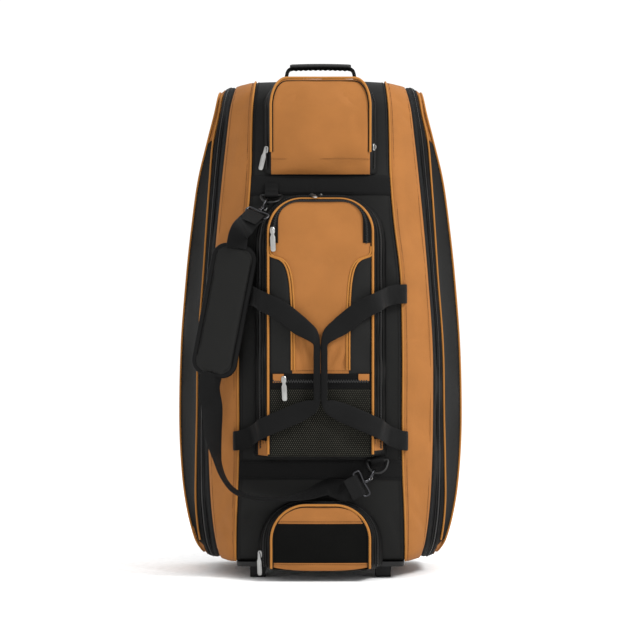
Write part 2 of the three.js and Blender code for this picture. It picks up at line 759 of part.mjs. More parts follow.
// Each carry handle leaves the seam, turns back over it, and crosses to a doubled grip in front of the
// pocket. x is a share of the seam's half width there, z of the body's height and out of the front pocket's
// depth. turn is the way the webbing faces, in degrees from straight ahead towards the side, and grip how
// far it is doubled.
const HANDLE_ROUTE = [
  { x: 1.04, z: 0.553, out: 0, turn: 90, grip: 0 },
  { x: 1.05, z: 0.553, out: 0.18, turn: 80, grip: 0 },
  { x: 1.02, z: 0.553, out: 0.28, turn: 45, grip: 0 },
  { x: 0.94, z: 0.552, out: 0.3, turn: 20, grip: 0 },
  { x: 0.84, z: 0.549, out: 0.39, turn: 45, grip: 0 },
  { x: 0.77, z: 0.544, out: 0.78, turn: 60, grip: 0 },
  { x: 0.7, z: 0.537, out: 1.16, turn: 30, grip: 0 },
  { x: 0.46, z: 0.516, out: 1.27, turn: 5, grip: 0 },
  { x: 0.24, z: 0.49, out: 1.3, turn: 0, grip: 0 },
  { x: 0.1, z: 0.463, out: 1.34, turn: 0, grip: 0.7 },
  { x: 0.066, z: 0.437, out: 1.34, turn: 0, grip: 1 },
  { x: 0.066, z: 0.385, out: 1.34, turn: 0, grip: 1 },
  { x: 0.066, z: 0.345, out: 1.34, turn: 0, grip: 1 },
  { x: 0.1, z: 0.322, out: 1.34, turn: 0, grip: 0.7 },
  { x: 0.26, z: 0.305, out: 1.3, turn: 0, grip: 0 },
  { x: 0.48, z: 0.289, out: 1.27, turn: 5, grip: 0 },
  { x: 0.7, z: 0.273, out: 1.16, turn: 30, grip: 0 },
  { x: 0.77, z: 0.265, out: 0.78, turn: 60, grip: 0 },
  { x: 0.84, z: 0.258, out: 0.39, turn: 45, grip: 0 },
  { x: 0.94, z: 0.253, out: 0.3, turn: 20, grip: 0 },
  { x: 1.02, z: 0.251, out: 0.28, turn: 45, grip: 0 },
  { x: 1.05, z: 0.25, out: 0.18, turn: 80, grip: 0 },
  { x: 1.04, z: 0.25, out: 0, turn: 90, grip: 0 },
];

// A curve through knots with the given columns of their rows carried along it, span by span.
function follow(knots, rows, columns, steps) {
  const curve = new THREE.CatmullRomCurve3(knots, false, "centripetal");
  const spans = knots.length - 1;
  const samples = [];
  for (let i = 0; i < spans; i++)
    for (let k = 0; k < steps + (i === spans - 1); k++) {
      const share = k / steps;
      const sample = { point: curve.getPoint((i + share) / spans) };
      for (const key of columns) sample[key] = lerp(rows[i][key], rows[i + 1][key], share);
      samples.push(sample);
    }
  return samples;
}

function addHandles() {
  for (const [side, word] of [
    [-1, "left"],
    [1, "right"],
  ]) {
    const knots = HANDLE_ROUTE.map((row) => {
      const z = bodyBase + row.z * bodyHeight;
      const x = side * row.x * halfAt(1, z);
      return new THREE.Vector3(x, frontY(x, z) - 1.5 * gap - row.out * frontPocketDepth, z);
    });
    const samples = follow(knots, HANDLE_ROUTE, ["turn", "grip"], 1);
    const facing = samples.map(({ turn }) => {
      const angle = (turn * Math.PI) / 180;
      return new THREE.Vector3(side * Math.sin(angle), -Math.cos(angle), 0);
    });
    const section = (i) => {
      const g = samples[i].grip;
      return flatSection(lerp(handleWidth, handleGripWidth, g), lerp(webbing, handleGripThick, g));
    };
    const points = samples.map((sample) => sample.point);
    add(`carry_handle_${word}`, "web", sweep(points, facing, section));
  }
}

function addHaulHandle() {
  const topAt = (x) => bodyTop - railValue("top", Math.abs(x) / halfAt(1, bodyTop)) * bodyDepth;
  const foot = haulSpan / 2 + 0.3 * haulStrapWidth;
  const gripZ = topAt(0) + haulRise;
  const rows = [
    [-foot, topAt(foot) + 1.3 * gap + haulStrapThick / 2],
    [-haulSpan / 2, topAt(foot) + 0.15 * haulRise],
    [-haulGripLength / 2 - 0.25 * haulGripThick, gripZ - 0.15 * haulGripThick],
    [-haulGripLength / 2 + 0.7 * haulGripThick, gripZ + 0.25 * haulGripThick],
    [0, gripZ + 0.5 * haulGripThick],
  ];
  const mirrored = [...rows, ...rows.slice(0, -1).reverse().map(([x, z]) => [-x, z])];
  const knots = mirrored.map(([x, z]) => new THREE.Vector3(x, haulY, z));
  const strap = (grow) => {
    const points = smoothPoints(knots, 20);
    const facing = points.map((p) => new THREE.Vector3(p.x / haulSpan, 0, 0.6).normalize());
    return sweep(points, facing, () =>
      flatSection(haulStrapWidth + 2 * grow, haulStrapThick + 2 * grow, -haulStrapThick / 2 - grow),
    );
  };
  const count = 8;
  const spine = Array.from({ length: count + 1 }, (_, k) => {
    const x = lerp(-haulGripLength / 2, haulGripLength / 2, k / count);
    return new THREE.Vector3(x, haulY, gripZ + haulGripThick * (0.42 - 0.42 * (x / haulGripLength) ** 2));
  });
  const up = spine.map(() => new THREE.Vector3(0, 0, 1));
  const grip = sweep(spine, up, (i) => {
    const notch = 1 + 0.08 * Math.cos(i * Math.PI);
    return roundSection(1, 8).map(([a, b]) => [(a * haulGripWidth) / 2, (b * haulGripThick * notch) / 2]);
  });
  add("haul_strap", "web", strap(0));
  add("haul_grip", "rubber", cut(grip, strap(gap)));
}

// The shoulder strap
const padTilt = 11; // degrees that the pad leans, top towards the middle
const padX = -0.659 * halfWidth;
const padZ = bodyBase + 0.519 * bodyHeight;
const padOut = 31; // how far its middle stands before the front panel's plane

function padPlace(along, across, out) {
  const tilt = (padTilt * Math.PI) / 180;
  const lean = 0.3; // the pad follows the bag's rounded corner
  const x = padX + along * Math.sin(tilt) + across * Math.cos(tilt);
  const z = padZ + along * Math.cos(tilt) - across * Math.sin(tilt);
  return new THREE.Vector3(x, bodyFront - padOut - out - across * lean, z);
}

function addShoulderPad() {
  const corner = 0.275 * padWidth;
  const rings = [];
  const steps = 10;
  const rim = (k) => {
    const along = -Math.cos((Math.PI * k) / steps) * (padLength / 2);
    const over = clamp(Math.abs(along) - (padLength / 2 - corner), 0, corner);
    const half = padWidth / 2 - corner + Math.sqrt(corner ** 2 - over ** 2);
    return [along, Math.max(half, 4)];
  };
  for (let k = 0; k <= steps; k++) {
    const [along, half] = rim(k);
    const thick = (padThick / 2) * Math.min(1, 0.45 + half / padWidth);
    rings.push(
      [
        [-1, 0],
        [-0.88, 0.75],
        [-0.4, 1],
        [0.4, 1],
        [0.88, 0.75],
        [1, 0],
        [0.88, -0.75],
        [-0.88, -0.75],
      ].map(([a, b]) => padPlace(along, a * half, b * thick)),
    );
  }
  add("shoulder_pad", "black", skin(rings, false));
}

// A ring of round wire: a straight bar on top and a bow hanging from it.
function ringPath(x, z, out, lean) {
  const half = ringWidth / 2;
  const bow = Array.from({ length: 9 }, (_, k) => {
    const turn = (Math.PI * k) / 8;
    return [half * Math.cos(turn), -ringDrop * Math.sin(turn) ** 0.8];
  });
  const flat = [
    [-half * 0.6, 0],
    [0, 0],
    [half * 0.6, 0],
  ];
  return [...bow, ...flat].map(([a, b]) => {
    const z1 = z + b * Math.cos(lean);
    return new THREE.Vector3(x + a, bodyFront - swell(z) - out + b * Math.sin(lean), z1);
  });
}

function addRing(word, x, z, out, lean) {
  const path = ringPath(x, z, out, lean);
  const facing = path.map(() => new THREE.Vector3(0, -Math.cos(lean), Math.sin(lean)));
  add(`d_ring_${word}`, "plastic", sweep(path, facing, () => roundSection(ringWire, 6), true));
}

// The short tab that holds a ring's bar: both its legs lie on the bag, above the bar or below it.
function addRingTab(word, x, z, out, way) {
  const loop = ringWire + gap + 0.75 * webbing;
  const back = 2 * gap + 1.5 * webbing;
  const thick = 0.8 * webbing;
  const rows = [
    [0.88 * way * ringDrop, back],
    [0.36 * way * ringDrop, back],
    [way * loop, Math.min(out - loop, back + gap)],
    [0, out - loop],
    [-way * 0.71 * loop, out - 0.71 * loop],
    [-way * loop, out],
    [-way * 0.71 * loop, out + 0.71 * loop],
    [0, out + loop],
    [way * 1.2 * loop, out + 0.5 * loop],
    [0.4 * way * ringDrop, back + webbing + 2 * gap],
    [0.88 * way * ringDrop, back + webbing + gap],
  ];
  const knots = rows.map(([b, d]) => new THREE.Vector3(x, frontY(x, z) - d, z + b));
  const count = 16;
  const points = smoothPoints(knots, count);
  const facing = points.map((p, i) => {
    const along = points[Math.min(i + 1, count)].clone().sub(points[Math.max(i - 1, 0)]);
    return new THREE.Vector3(1, 0, 0).cross(along).normalize();
  });
  const width = ringWidth - 4 * ringWire - 10 * gap;
  add(`ring_tab_${word}`, "web", sweep(points, facing, () => flatSection(width, thick, -thick / 2)));
}

// A snap hook: an oval loop round the ring's wire, a barrel and a frame that holds the strap. wire is the
// ring's direction where the loop holds it, and ahead the way the hook's flat front looks.
function addHook(word, at, wire, heading, ahead) {
  const along = heading.clone().normalize();
  const forward = ahead.clone();
  forward.addScaledVector(along, -forward.dot(along)).normalize();
  const across = along.clone().cross(forward);
  const place = (a, f, c) =>
    at.clone().addScaledVector(along, a).addScaledVector(forward, f).addScaledVector(across, c);
  const ringOf = (points, facing) => {
    const ways = points.map(() => facing);
    return sweep(points, ways, () => roundSection(hookWire, 5), true);
  };
  const square = along.clone().addScaledVector(wire, -along.dot(wire)).normalize();
  const sideways = square.clone().cross(wire).normalize();
  const loopFrom = ringWire + hookWire + 2 * gap;
  const loop = Array.from({ length: 8 }, (_, k) => {
    const turn = (2 * Math.PI * k) / 8;
    const reach = hookLoopHalf - loopFrom - hookLoopHalf * Math.cos(turn);
    return at
      .clone()
      .addScaledVector(square, reach)
      .addScaledVector(sideways, 1.3 * loopFrom * Math.sin(turn));
  });
  const loopEnd = at.clone().addScaledVector(square, 2 * hookLoopHalf - loopFrom);
  at = loopEnd.addScaledVector(along, -hookWire / 2);
  const length = 1.2 * hookLoopHalf;
  const barrel = sweep(
    [0, 0.25, 0.75, 1].map((a) => place(a * length, 0, 0)),
    Array(4).fill(forward),
    (i) => roundSection(hookWire * (i === 0 || i === 3 ? 1.4 : 2.2), 6),
  );
  const reach = strapWidth / 2 + hookWire + 4 * gap;
  const from = length + hookWire / 2;
  const frame = [
    [0, -1],
    [0, 0],
    [0, 1],
    [0.5, 1.05],
    [1, 1],
    [1, 0],
    [1, -1],
    [0.5, -1.05],
  ].map(([a, c]) => place(from + a * hookLoopHalf, 0, c * reach));
  const hook = join(ringOf(loop, wire), barrel, ringOf(frame, forward));
  add(`snap_hook_${word}`, "metal", hook);
  return { bar: place(from + hookLoopHalf, 0, 0), along, forward, across };
}

// The strap's two lengths run from a hook's bar to the pad. x is a share of halfWidth, z of the body's
// height, out in shares of the front pocket's depth before the panel's plane, and roll turns the webbing on
// edge, in degrees.
const LOWER_ROUTE = [
  { x: -0.745, z: 0.32, out: 0.46, roll: 14 },
  { x: -0.736, z: 0.262, out: 0.52, roll: 42 },
  { x: -0.706, z: 0.212, out: 0.77, roll: 74 },
  { x: -0.655, z: 0.174, out: 0.95, roll: 82 },
  { x: -0.585, z: 0.15, out: 0.95, roll: 82 },
  { x: -0.47, z: 0.1365, out: 0.9, roll: 85 },
  { x: -0.35, z: 0.1335, out: 0.85, roll: 86 },
  { x: -0.21, z: 0.1345, out: 0.8, roll: 82 },
  { x: -0.07, z: 0.142, out: 0.68, roll: 68 },
  { x: 0.06, z: 0.156, out: 0.52, roll: 45 },
];

function strapFacing(points, rolls) {
  return points.map((p, i) => {
    const next = points[Math.min(i + 1, points.length - 1)];
    const along = next.clone().sub(points[Math.max(i - 1, 0)]).normalize();
    const flat = new THREE.Vector3(0, -1, 0);
    flat.addScaledVector(along, -flat.dot(along)).normalize();
    const edge = along.clone().cross(flat);
    const roll = (rolls[i] * Math.PI) / 180;
    return flat.multiplyScalar(Math.cos(roll)).addScaledVector(edge, Math.sin(roll));
  });
}

// The end of a strap folded round a hook's bar and sewn back on itself, as points that come before the
// strap's own.
function foldRound(hook) {
  const r = hookWire + 2 * gap + webbing / 2;
  return [
    [0.6 * strapWidth, r],
    [0.3 * strapWidth, r],
    [0, r],
    [-0.8 * r, 0.6 * r],
    [-r, 0],
    [-0.8 * r, -0.6 * r],
    [0, -r],
    [0.3 * strapWidth, -r],
    [0.6 * strapWidth, -r],
  ].map(([a, f]) => hook.bar.clone().addScaledVector(hook.along, a).addScaledVector(hook.forward, f));
}

function addStrapLength(name, hook, route, steps) {
  const fold = foldRound(hook);
  const knots = [...fold, ...route.map((r) => r.point)];
  const rows = [...fold.map(() => ({ roll: 0 })), ...route];
  const samples = follow(knots, rows, ["roll"], steps);
  const points = samples.map((sample) => sample.point);
  const facing = strapFacing(
    points,
    samples.map((sample) => sample.roll),
  );
  for (let i = 0; i <= (fold.length - 1) * steps; i++) {
    const along = points[i + 1].clone().sub(points[Math.max(i - 1, 0)]).normalize();
    facing[i] = hook.across.clone().cross(along);
  }
  for (let i = 1; i < points.length; i++) if (facing[i].dot(facing[i - 1]) < 0) facing[i].negate();
  const section = () => flatSection(strapWidth, webbing, -webbing / 2);
  add(name, "web", sweep(points, facing, section));
}

// Where each ring sits: its middle, the height of its bar, how far it leans out, in radians, and whether its
// tab comes from above the bar or from below.
const RINGS = {
  upper: { x: -0.337 * halfWidth, z: upperBandAt - 0.56 * bandWidth, lean: 1, way: 1 },
  lower: { x: 0.39 * halfWidth, z: lowerBandAt + 0.53 * bandWidth, lean: 0.5, way: -1 },
};

function ringHold({ x, z, lean }) {
  const path = ringPath(x, z, ringOut, lean);
  return { at: path[5], wire: path[6].clone().sub(path[4]).normalize() };
}

function addShoulderStrap() {
  for (const [word, { x, z, lean, way }] of Object.entries(RINGS)) {
    addRing(word, x, z, ringOut, lean);
    addRingTab(word, x, z, ringOut, way);
  }
  const upper = ringHold(RINGS.upper);
  const upperHook = addHook(
    "upper",
    upper.at,
    upper.wire,
    new THREE.Vector3(-0.64, -0.56, -0.62),
    new THREE.Vector3(-0.5, -0.85, 0.1),
  );
  addStrapLength(
    "shoulder_strap_upper",
    upperHook,
    [
      { point: padPlace(padLength / 2 + 0.55 * strapWidth, 0, padThick / 4), roll: 16 },
      { point: padPlace(padLength / 2 + 2 * gap, 0, 0), roll: 16 },
    ],
    3,
  );
  const lower = ringHold(RINGS.lower);
  const lowerHook = addHook(
    "lower",
    lower.at,
    lower.wire,
    new THREE.Vector3(-0.84, -0.25, -0.42),
    new THREE.Vector3(0, -1, 0),
  );
  const rows = LOWER_ROUTE.map((row) => ({
    point: new THREE.Vector3(
      row.x * halfWidth,
      bodyFront - row.out * frontPocketDepth,
      bodyBase + row.z * bodyHeight,
    ),
    roll: row.roll,
  })).reverse();
  rows.push({ point: padPlace(-padLength / 2 - 0.55 * strapWidth, 0, 0), roll: 16 });
  rows.push({ point: padPlace(-padLength / 2 - 2 * gap, 0, 0), roll: 16 });
  addStrapLength("shoulder_strap_lower", lowerHook, rows, 2);
}

// Base, wheels and feet

function housingBlock(grow) {
  const wheelX = halfAt(1, bodyBase) - wheelInset;
  return (side) =>
    block(
      side * wheelX - wheelWidth / 2 - wheelSideClearance - cheek - grow,
      side * wheelX + wheelWidth / 2 + wheelSideClearance + cheek + grow,
      wheelY - wheelRadius - wheelClearance - cheek - grow,
      -bodyFront + 2 * wall,
      -1,
      2 * wheelRadius + wheelClearance + cheek + grow,
    );
}

function addBase() {
  const wheelSides = 20;
  const bottom = bodyBase - gap - baseThick;
  const corner = 0.04 * bodyDepth;
  const outline = new THREE.Shape();
  const [x, y0, y1] = [halfAt(1, bodyBase) - baseInset, bodyFront + baseInset, -bodyFront - baseInset];
  outline.moveTo(-x + corner, y0);
  outline.lineTo(x - corner, y0);
  outline.absarc(x - corner, y0 + corner, corner, -Math.PI / 2, 0);
  outline.lineTo(x, y1 - corner);
  outline.absarc(x - corner, y1 - corner, corner, 0, Math.PI / 2);
  outline.lineTo(-x + corner, y1);
  outline.absarc(-x + corner, y1 - corner, corner, Math.PI / 2, Math.PI);
  outline.lineTo(-x, y0 + corner);
  outline.absarc(-x + corner, y0 + corner, corner, Math.PI, 1.5 * Math.PI);
  const boardShape = { depth: baseThick, bevelEnabled: false, curveSegments: 4 };
  const board = new THREE.ExtrudeGeometry(outline, boardShape);
  const cutter = housingBlock(gap);
  add("base_board", "plastic", cut(board.translate(0, 0, bottom), cutter(-1), cutter(1)));
  const arch = wheelRadius + wheelClearance;
  const slot = wheelWidth + 2 * wheelSideClearance;
  for (const [side, word] of [
    [-1, "left"],
    [1, "right"],
  ]) {
    const wx = side * (halfAt(1, bodyBase) - wheelInset);
    const outerHalf = slot / 2 + cheek;
    const [inner, roof] = [wheelY - arch - cheek, wheelRadius + arch + cheek];
    const shell = block(wx - outerHalf, wx + outerHalf, inner, -bodyFront, bottom, roof);
    const hollow = rodAlongX(arch, slot, wx, wheelY, wheelRadius, 24);
    const behind = block(wx - slot / 2, wx + slot / 2, wheelY, wheelY + 2 * arch, 0, wheelRadius + arch);
    const below = block(wx - slot / 2, wx + slot / 2, wheelY - arch, wheelY + arch, 0, wheelRadius);
    const axle = rodAlongX(axleRadius, slot + cheek, wx, wheelY, wheelRadius, 16);
    const housing = toSolid(cut(shell, hollow, behind, below)).add(toSolid(axle));
    add(`wheel_housing_${word}`, "plastic", fromSolid(housing));

    const bore = (axleRadius + axleClearance) / Math.cos(Math.PI / wheelSides);
    const [w, r] = [wheelWidth / 2, wheelRadius];
    const profile = [
      [bore, -w],
      [0.4 * r, -w],
      [0.5 * r, -0.75 * w],
      [0.72 * r, -0.75 * w],
      [0.8 * r, -w],
      [r, -0.7 * w],
      [r, 0.7 * w],
      [0.8 * r, w],
      [0.72 * r, 0.75 * w],
      [0.5 * r, 0.75 * w],
      [0.4 * r, w],
      [bore, w],
      [bore, -w],
    ].map(([a, b]) => new THREE.Vector2(a, b));
    const wheel = new THREE.LatheGeometry(profile, wheelSides).rotateZ(Math.PI / 2);
    add(`wheel_${word}`, "rubber", wheel.translate(wx, wheelY, wheelRadius));

    const foot = new THREE.Shape();
    const [a, b, h] = [footLength / 2, 0.35 * footLength, bottom - gap];
    foot.moveTo(-b, 0);
    foot.lineTo(b, 0);
    foot.quadraticCurveTo(0.95 * a, 0, 0.97 * a, h / 4);
    foot.lineTo(a, h);
    foot.lineTo(-a, h);
    foot.lineTo(-0.97 * a, h / 4);
    foot.quadraticCurveTo(-0.95 * a, 0, -b, 0);
    const solid = new THREE.ExtrudeGeometry(foot, { ...boardShape, depth: footWidth });
    solid.rotateX(Math.PI / 2).rotateZ(Math.PI / 2);
    add(`front_foot_${word}`, "rubber", solid.translate(wx - footWidth / 2, footY, 0));
  }
}

// A zip pull: a slider that stands on the zip and a tab that hangs from it. face is the zip's outward side.
function addPull(name, place, hang, face) {
  const down = hang.clone().addScaledVector(face, -hang.dot(face)).normalize();
  const side = down.clone().cross(face).normalize();
  const spot = (a, s, f) =>
    place.clone().addScaledVector(down, a).addScaledVector(side, s).addScaledVector(face, f);
  const slab = (stations, f0, f1) =>
    skin(
      stations.map(([a, s]) => [spot(a, -s, f0), spot(a, s, f0), spot(a, s, f1), spot(a, -s, f1)]),
      false,
    );
  const [w, n] = [pullWidth / 2, pullWidth / 5];
  const high = 2.5 * pullThick;
  const slider = slab([[-w * 2, 0.7 * w], [-w * 1.3, w], [0, w], [0.7 * w, 0.6 * w]], 0, high);
  const rows = [[-0.7 * w, n], [2 * w, n], [2.7 * w, w], [pullLength - n, w], [pullLength, 0.6 * w]];
  const tab = slab(rows, high - pullThick / 4, high + pullThick);
  add(name, "metal", join(slider, tab));
}

// A place on the left wall of a pocket, from the panel at share 0 to the face at share 1, and the wall's
// outward side.
function onWall(base, face, depthAt, s, share) {
  const root = onFront(-archHalf(base, s), s, 0);
  const rim = onFront(-archHalf(face, s), s, depthAt(s));
  const outward = rim.clone().sub(root).cross(new THREE.Vector3(0, 0, 1)).normalize();
  if (outward.x > 0) outward.negate();
  return { place: root.lerp(rim, share).addScaledVector(outward, 1.2 * gap), outward };
}

function addPulls() {
  const forward = new THREE.Vector3(0, -1, 0);
  const down = new THREE.Vector3(0.05, 0, -1);
  const onTop = onWall(TOP_BASE, TOP_FACE, topDepth, lerp(topPocketBottom, topPocketTop, 0.27), 0.6);
  addPull("top_pocket_pull", onTop.place, new THREE.Vector3(-0.3, 0, -1), onTop.outward);
  const onFace = (x, s) => onFront(x, s, frontPocketDepth + crownOf(FRONT_FACE, x, s) + 3.2 * gap);
  const shoulder = onFace(-0.92 * FRONT_FACE.half, FRONT_FACE.top - FRONT_FACE.radius);
  addPull("front_pocket_pull", shoulder, down, forward);
  addPull("mesh_pocket_pull", onFace(-0.7 * FRONT_FACE.half, meshTop + meshZipWidth / 2), down, forward);
  const lidTop = lerp(FRONT_BASE.top, FRONT_FACE.top, 0.5);
  const lid = onFront(-0.17 * FRONT_FACE.half, lidTop, frontPocketDepth / 2);
  const up = new THREE.Vector3(0, -0.23, 1).normalize();
  addPull("lid_pull", lid.addScaledVector(up, 2.2 * gap), new THREE.Vector3(0.2, -1, 0), up);
  const lowAt = bottomPocketBottom + 0.14 * bottomPocketTop;
  const low = onWall(BOTTOM_BASE, BOTTOM_FACE, () => bottomPocketDepth, lowAt, 0.3);
  addPull("bottom_pocket_pull", low.place, down, low.outward);
}

addBody();
addTopPocket();
addFrontPocket();
addBottomPocket();
addBands();
addHandles();
addHaulHandle();
addShoulderPad();
addShoulderStrap();
addBase();
addPulls();

// The origin is on the floor, under the middle of the whole bag.
bag.updateMatrixWorld(true);
const bounds = new THREE.Box3().setFromObject(bag);
bag.position.set(-(bounds.min.x + bounds.max.x) / 2, -(bounds.min.y + bounds.max.y) / 2, -bounds.min.z);

export default bag;
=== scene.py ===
"""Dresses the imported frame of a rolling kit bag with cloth, webbing, zips, mesh and fittings."""

import json
import math
from collections import namedtuple

import bmesh
import bpy
import numpy as np
from bpy.props import FloatProperty, FloatVectorProperty, IntProperty, PointerProperty
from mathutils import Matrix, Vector

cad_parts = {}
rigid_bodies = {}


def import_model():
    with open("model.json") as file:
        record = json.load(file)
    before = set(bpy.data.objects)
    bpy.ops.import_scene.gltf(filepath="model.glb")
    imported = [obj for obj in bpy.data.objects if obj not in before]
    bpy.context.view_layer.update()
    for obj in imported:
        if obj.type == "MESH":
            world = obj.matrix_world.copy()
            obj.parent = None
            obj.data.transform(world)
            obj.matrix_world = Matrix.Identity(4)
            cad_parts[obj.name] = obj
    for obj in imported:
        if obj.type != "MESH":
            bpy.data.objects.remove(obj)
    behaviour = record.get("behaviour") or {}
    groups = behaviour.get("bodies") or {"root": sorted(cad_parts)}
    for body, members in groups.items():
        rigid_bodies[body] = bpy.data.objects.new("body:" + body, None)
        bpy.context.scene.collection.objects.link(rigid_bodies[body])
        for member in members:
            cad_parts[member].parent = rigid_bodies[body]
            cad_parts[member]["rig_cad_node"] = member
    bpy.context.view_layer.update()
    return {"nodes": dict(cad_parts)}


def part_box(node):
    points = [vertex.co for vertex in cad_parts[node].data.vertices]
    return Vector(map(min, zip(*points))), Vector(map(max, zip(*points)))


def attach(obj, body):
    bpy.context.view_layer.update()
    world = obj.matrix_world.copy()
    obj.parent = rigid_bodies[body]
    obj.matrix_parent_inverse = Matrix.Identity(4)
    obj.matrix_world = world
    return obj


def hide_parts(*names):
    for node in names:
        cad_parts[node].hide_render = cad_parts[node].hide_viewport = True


bl_info = {
    "name": "Kit Bag Dressing",
    "version": (1, 0, 0),
    "blender": (4, 5, 0),
    "location": "3D Viewport > Sidebar > Kit Bag",
    "description": "Builds the cloth, straps, zips and fittings of a rolling kit bag on its CAD frame",
    "category": "Object",
}

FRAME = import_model()

# Lengths are in millimetres in the bag's own place, with y = 0 in the middle of the body's depth. The frame
# sets where that is: its front feet stand at FOOT_Y.
MM = 0.001
BODY_TOP = 888
BODY_BASE = 31
BODY_DEPTH = 300
HALF_WIDTH = 256.5
FRONT_BULGE = 12
SIDE_BOW = 50
FOOT_Y = 50 - BODY_DEPTH / 2
BODY_HEIGHT = BODY_TOP - BODY_BASE
BODY_FRONT = -BODY_DEPTH / 2

WALL = 2.4
PIPING = 1.9
WEBBING = 1.8
BAND_WIDTH = 34
UPPER_BAND = 0.7855 * BODY_TOP
LOWER_BAND = 0.2185 * BODY_TOP
STRAP_WIDTH = 38
PULL_LENGTH = 34
PULL_WIDTH = 9

TOP_WRAP = 27
POCKET_WALL = 2.2
POCKET_CROWN = 8
MESH_TOP = 0.3815 * BODY_TOP
MESH_ZIP = 27

# The seams round the bag: how far each loop is set in from the body's front, back, top and base and its
# corner radii, as shares of the depth, and its share of the front's swell.
RAIL_COLUMNS = ("front", "back", "top", "base", "top_radius", "base_radius", "bulge")
RAILS = np.array([
    (0, 0, 0, 0, 0.15, 0.04, 1),
    (0.013, 0.005, 0.013, 0, 0.15, 0.04, 1),
    (0.133, 0.03, 0.03, 0.01, 0.15, 0.07, 0.7),
    (0.3, 0.1, 0.025, 0, 0.155, 0.1, 0.3),
    (0.31, 0.16, 0.045, 0.02, 0.16, 0.12, 0),
])

# Half widths of the seams up the body, as shares of HALF_WIDTH, and the share of SIDE_BOW.
SECTION_COLUMNS = ("at", "seam", "zip_inner", "zip_outer", "outline", "bow")
SECTIONS = np.array([
    (0.0, 0.587, 0.7, 0.8, 0.81, 0),
    (0.037, 0.587, 0.735, 0.848, 0.882, 0.1),
    (0.109, 0.581, 0.766, 0.876, 0.948, 0.45),
    (0.19, 0.569, 0.781, 0.876, 0.984, 0.75),
    (0.29, 0.566, 0.788, 0.869, 1.0, 0.95),
    (0.443, 0.567, 0.786, 0.86, 0.99, 1),
    (0.595, 0.552, 0.752, 0.823, 0.951, 0.9),
    (0.697, 0.511, 0.723, 0.801, 0.912, 0.7),
    (0.797, 0.483, 0.69, 0.778, 0.862, 0.4),
    (0.879, 0.477, 0.66, 0.754, 0.793, 0.1),
    (0.939, 0.471, 0.636, 0.712, 0.741, 0),
    (0.98, 0.458, 0.606, 0.69, 0.716, 0),
    (1.0, 0.45, 0.586, 0.67, 0.697, 0),
])

# Creases and soft dents in the cloth. plane is the side they are seen from: front is x and z, side is y and
# z. Columns: plane, a and z of the middle, angle from upright, length, width, and depth, which is positive
# inwards.
FOLDS = [
    ("front", -178, 118, 30, 60, 9, 3.4),
    ("front", -166, 80, -30, 46, 8, 2.6),
    ("front", -172, 205, 24, 70, 10, 3.2),
    ("front", -168, 285, -14, 80, 11, 3.0),
    ("front", -164, 345, 22, 70, 9, 2.6),
    ("front", -160, 640, 8, 90, 12, 2.0),
    ("front", -142, 760, 14, 60, 9, 2.2),
    ("front", 178, 95, -34, 60, 9, 3.2),
    ("front", 168, 150, -22, 60, 9, 2.4),
    ("front", 172, 300, 10, 90, 11, 2.2),
    ("front", 168, 430, 80, 40, 7, 1.8),
    ("front", 150, 640, -12, 100, 11, 1.8),
    ("front", 138, 845, -52, 40, 7, 2.8),
    ("front", 148, 820, -40, 44, 7, 2.6),
    ("front", -138, 848, 48, 36, 7, 2.2),
    ("front", 128, 560, -30, 40, 8, 2.0),
    ("front", -132, 230, 20, 50, 8, 2.2),
    ("front", 130, 95, -20, 60, 9, 2.4),
    ("front", -130, 110, 26, 56, 9, 2.6),
    ("pocket", -22, 408, -14, 40, 7, 5.0),
    ("pocket", 22, 402, 24, 38, 7, 4.6),
    ("pocket", -38, 400, -10, 46, 7, 3.6),
    ("pocket", 38, 388, 30, 36, 7, 3.4),
    ("pocket", -55, 850, 60, 38, 8, 3.0),
    ("pocket", 44, 848, -52, 38, 8, 2.8),
    ("pocket", 60, 800, -10, 46, 9, 1.2),
    ("pocket", -40, 100, 70, 30, 8, 1.8),
    ("pocket", 30, 95, -60, 34, 8, 1.8),
    ("pocket", 10, 60, 20, 34, 9, 1.6),
    ("side", 60, 700, 8, 160, 26, 3.0),
    ("side", 90, 420, -6, 220, 30, -2.6),
    ("side", 40, 220, 18, 120, 22, 2.8),
    ("side", 110, 120, 35, 70, 16, 2.4),
    ("side", 80, 810, 70, 60, 16, 2.2),
    ("side", -20, 610, 74, 70, 12, 2.2),
    ("side", 10, 330, -70, 60, 12, 2.0),
    ("back", -90, 640, 14, 180, 22, 2.8),
    ("back", 70, 480, -10, 200, 24, 2.6),
    ("back", 110, 200, 24, 120, 18, 2.6),
    ("back", -60, 240, -60, 110, 18, 2.4),
    ("back", 0, 800, 88, 120, 14, 2.0),
]


def linear(colour):
    """sRGB hex to linear RGBA."""
    values = [int(colour[i : i + 2], 16) / 255 for i in (1, 3, 5)]
    return [v / 12.92 if v <= 0.04045 else ((v + 0.055) / 1.055) ** 2.4 for v in values] + [1.0]


def colour_property(name, description, colour):
    """A colour of a material, from sRGB hex."""
    return FloatVectorProperty(
        name=name, description=description, default=linear(colour), size=4, min=0, max=1, subtype="COLOR"
    )


def length_property(name, description, default):
    """A size in metres."""
    return FloatProperty(name=name, description=description, default=default, subtype="DISTANCE")


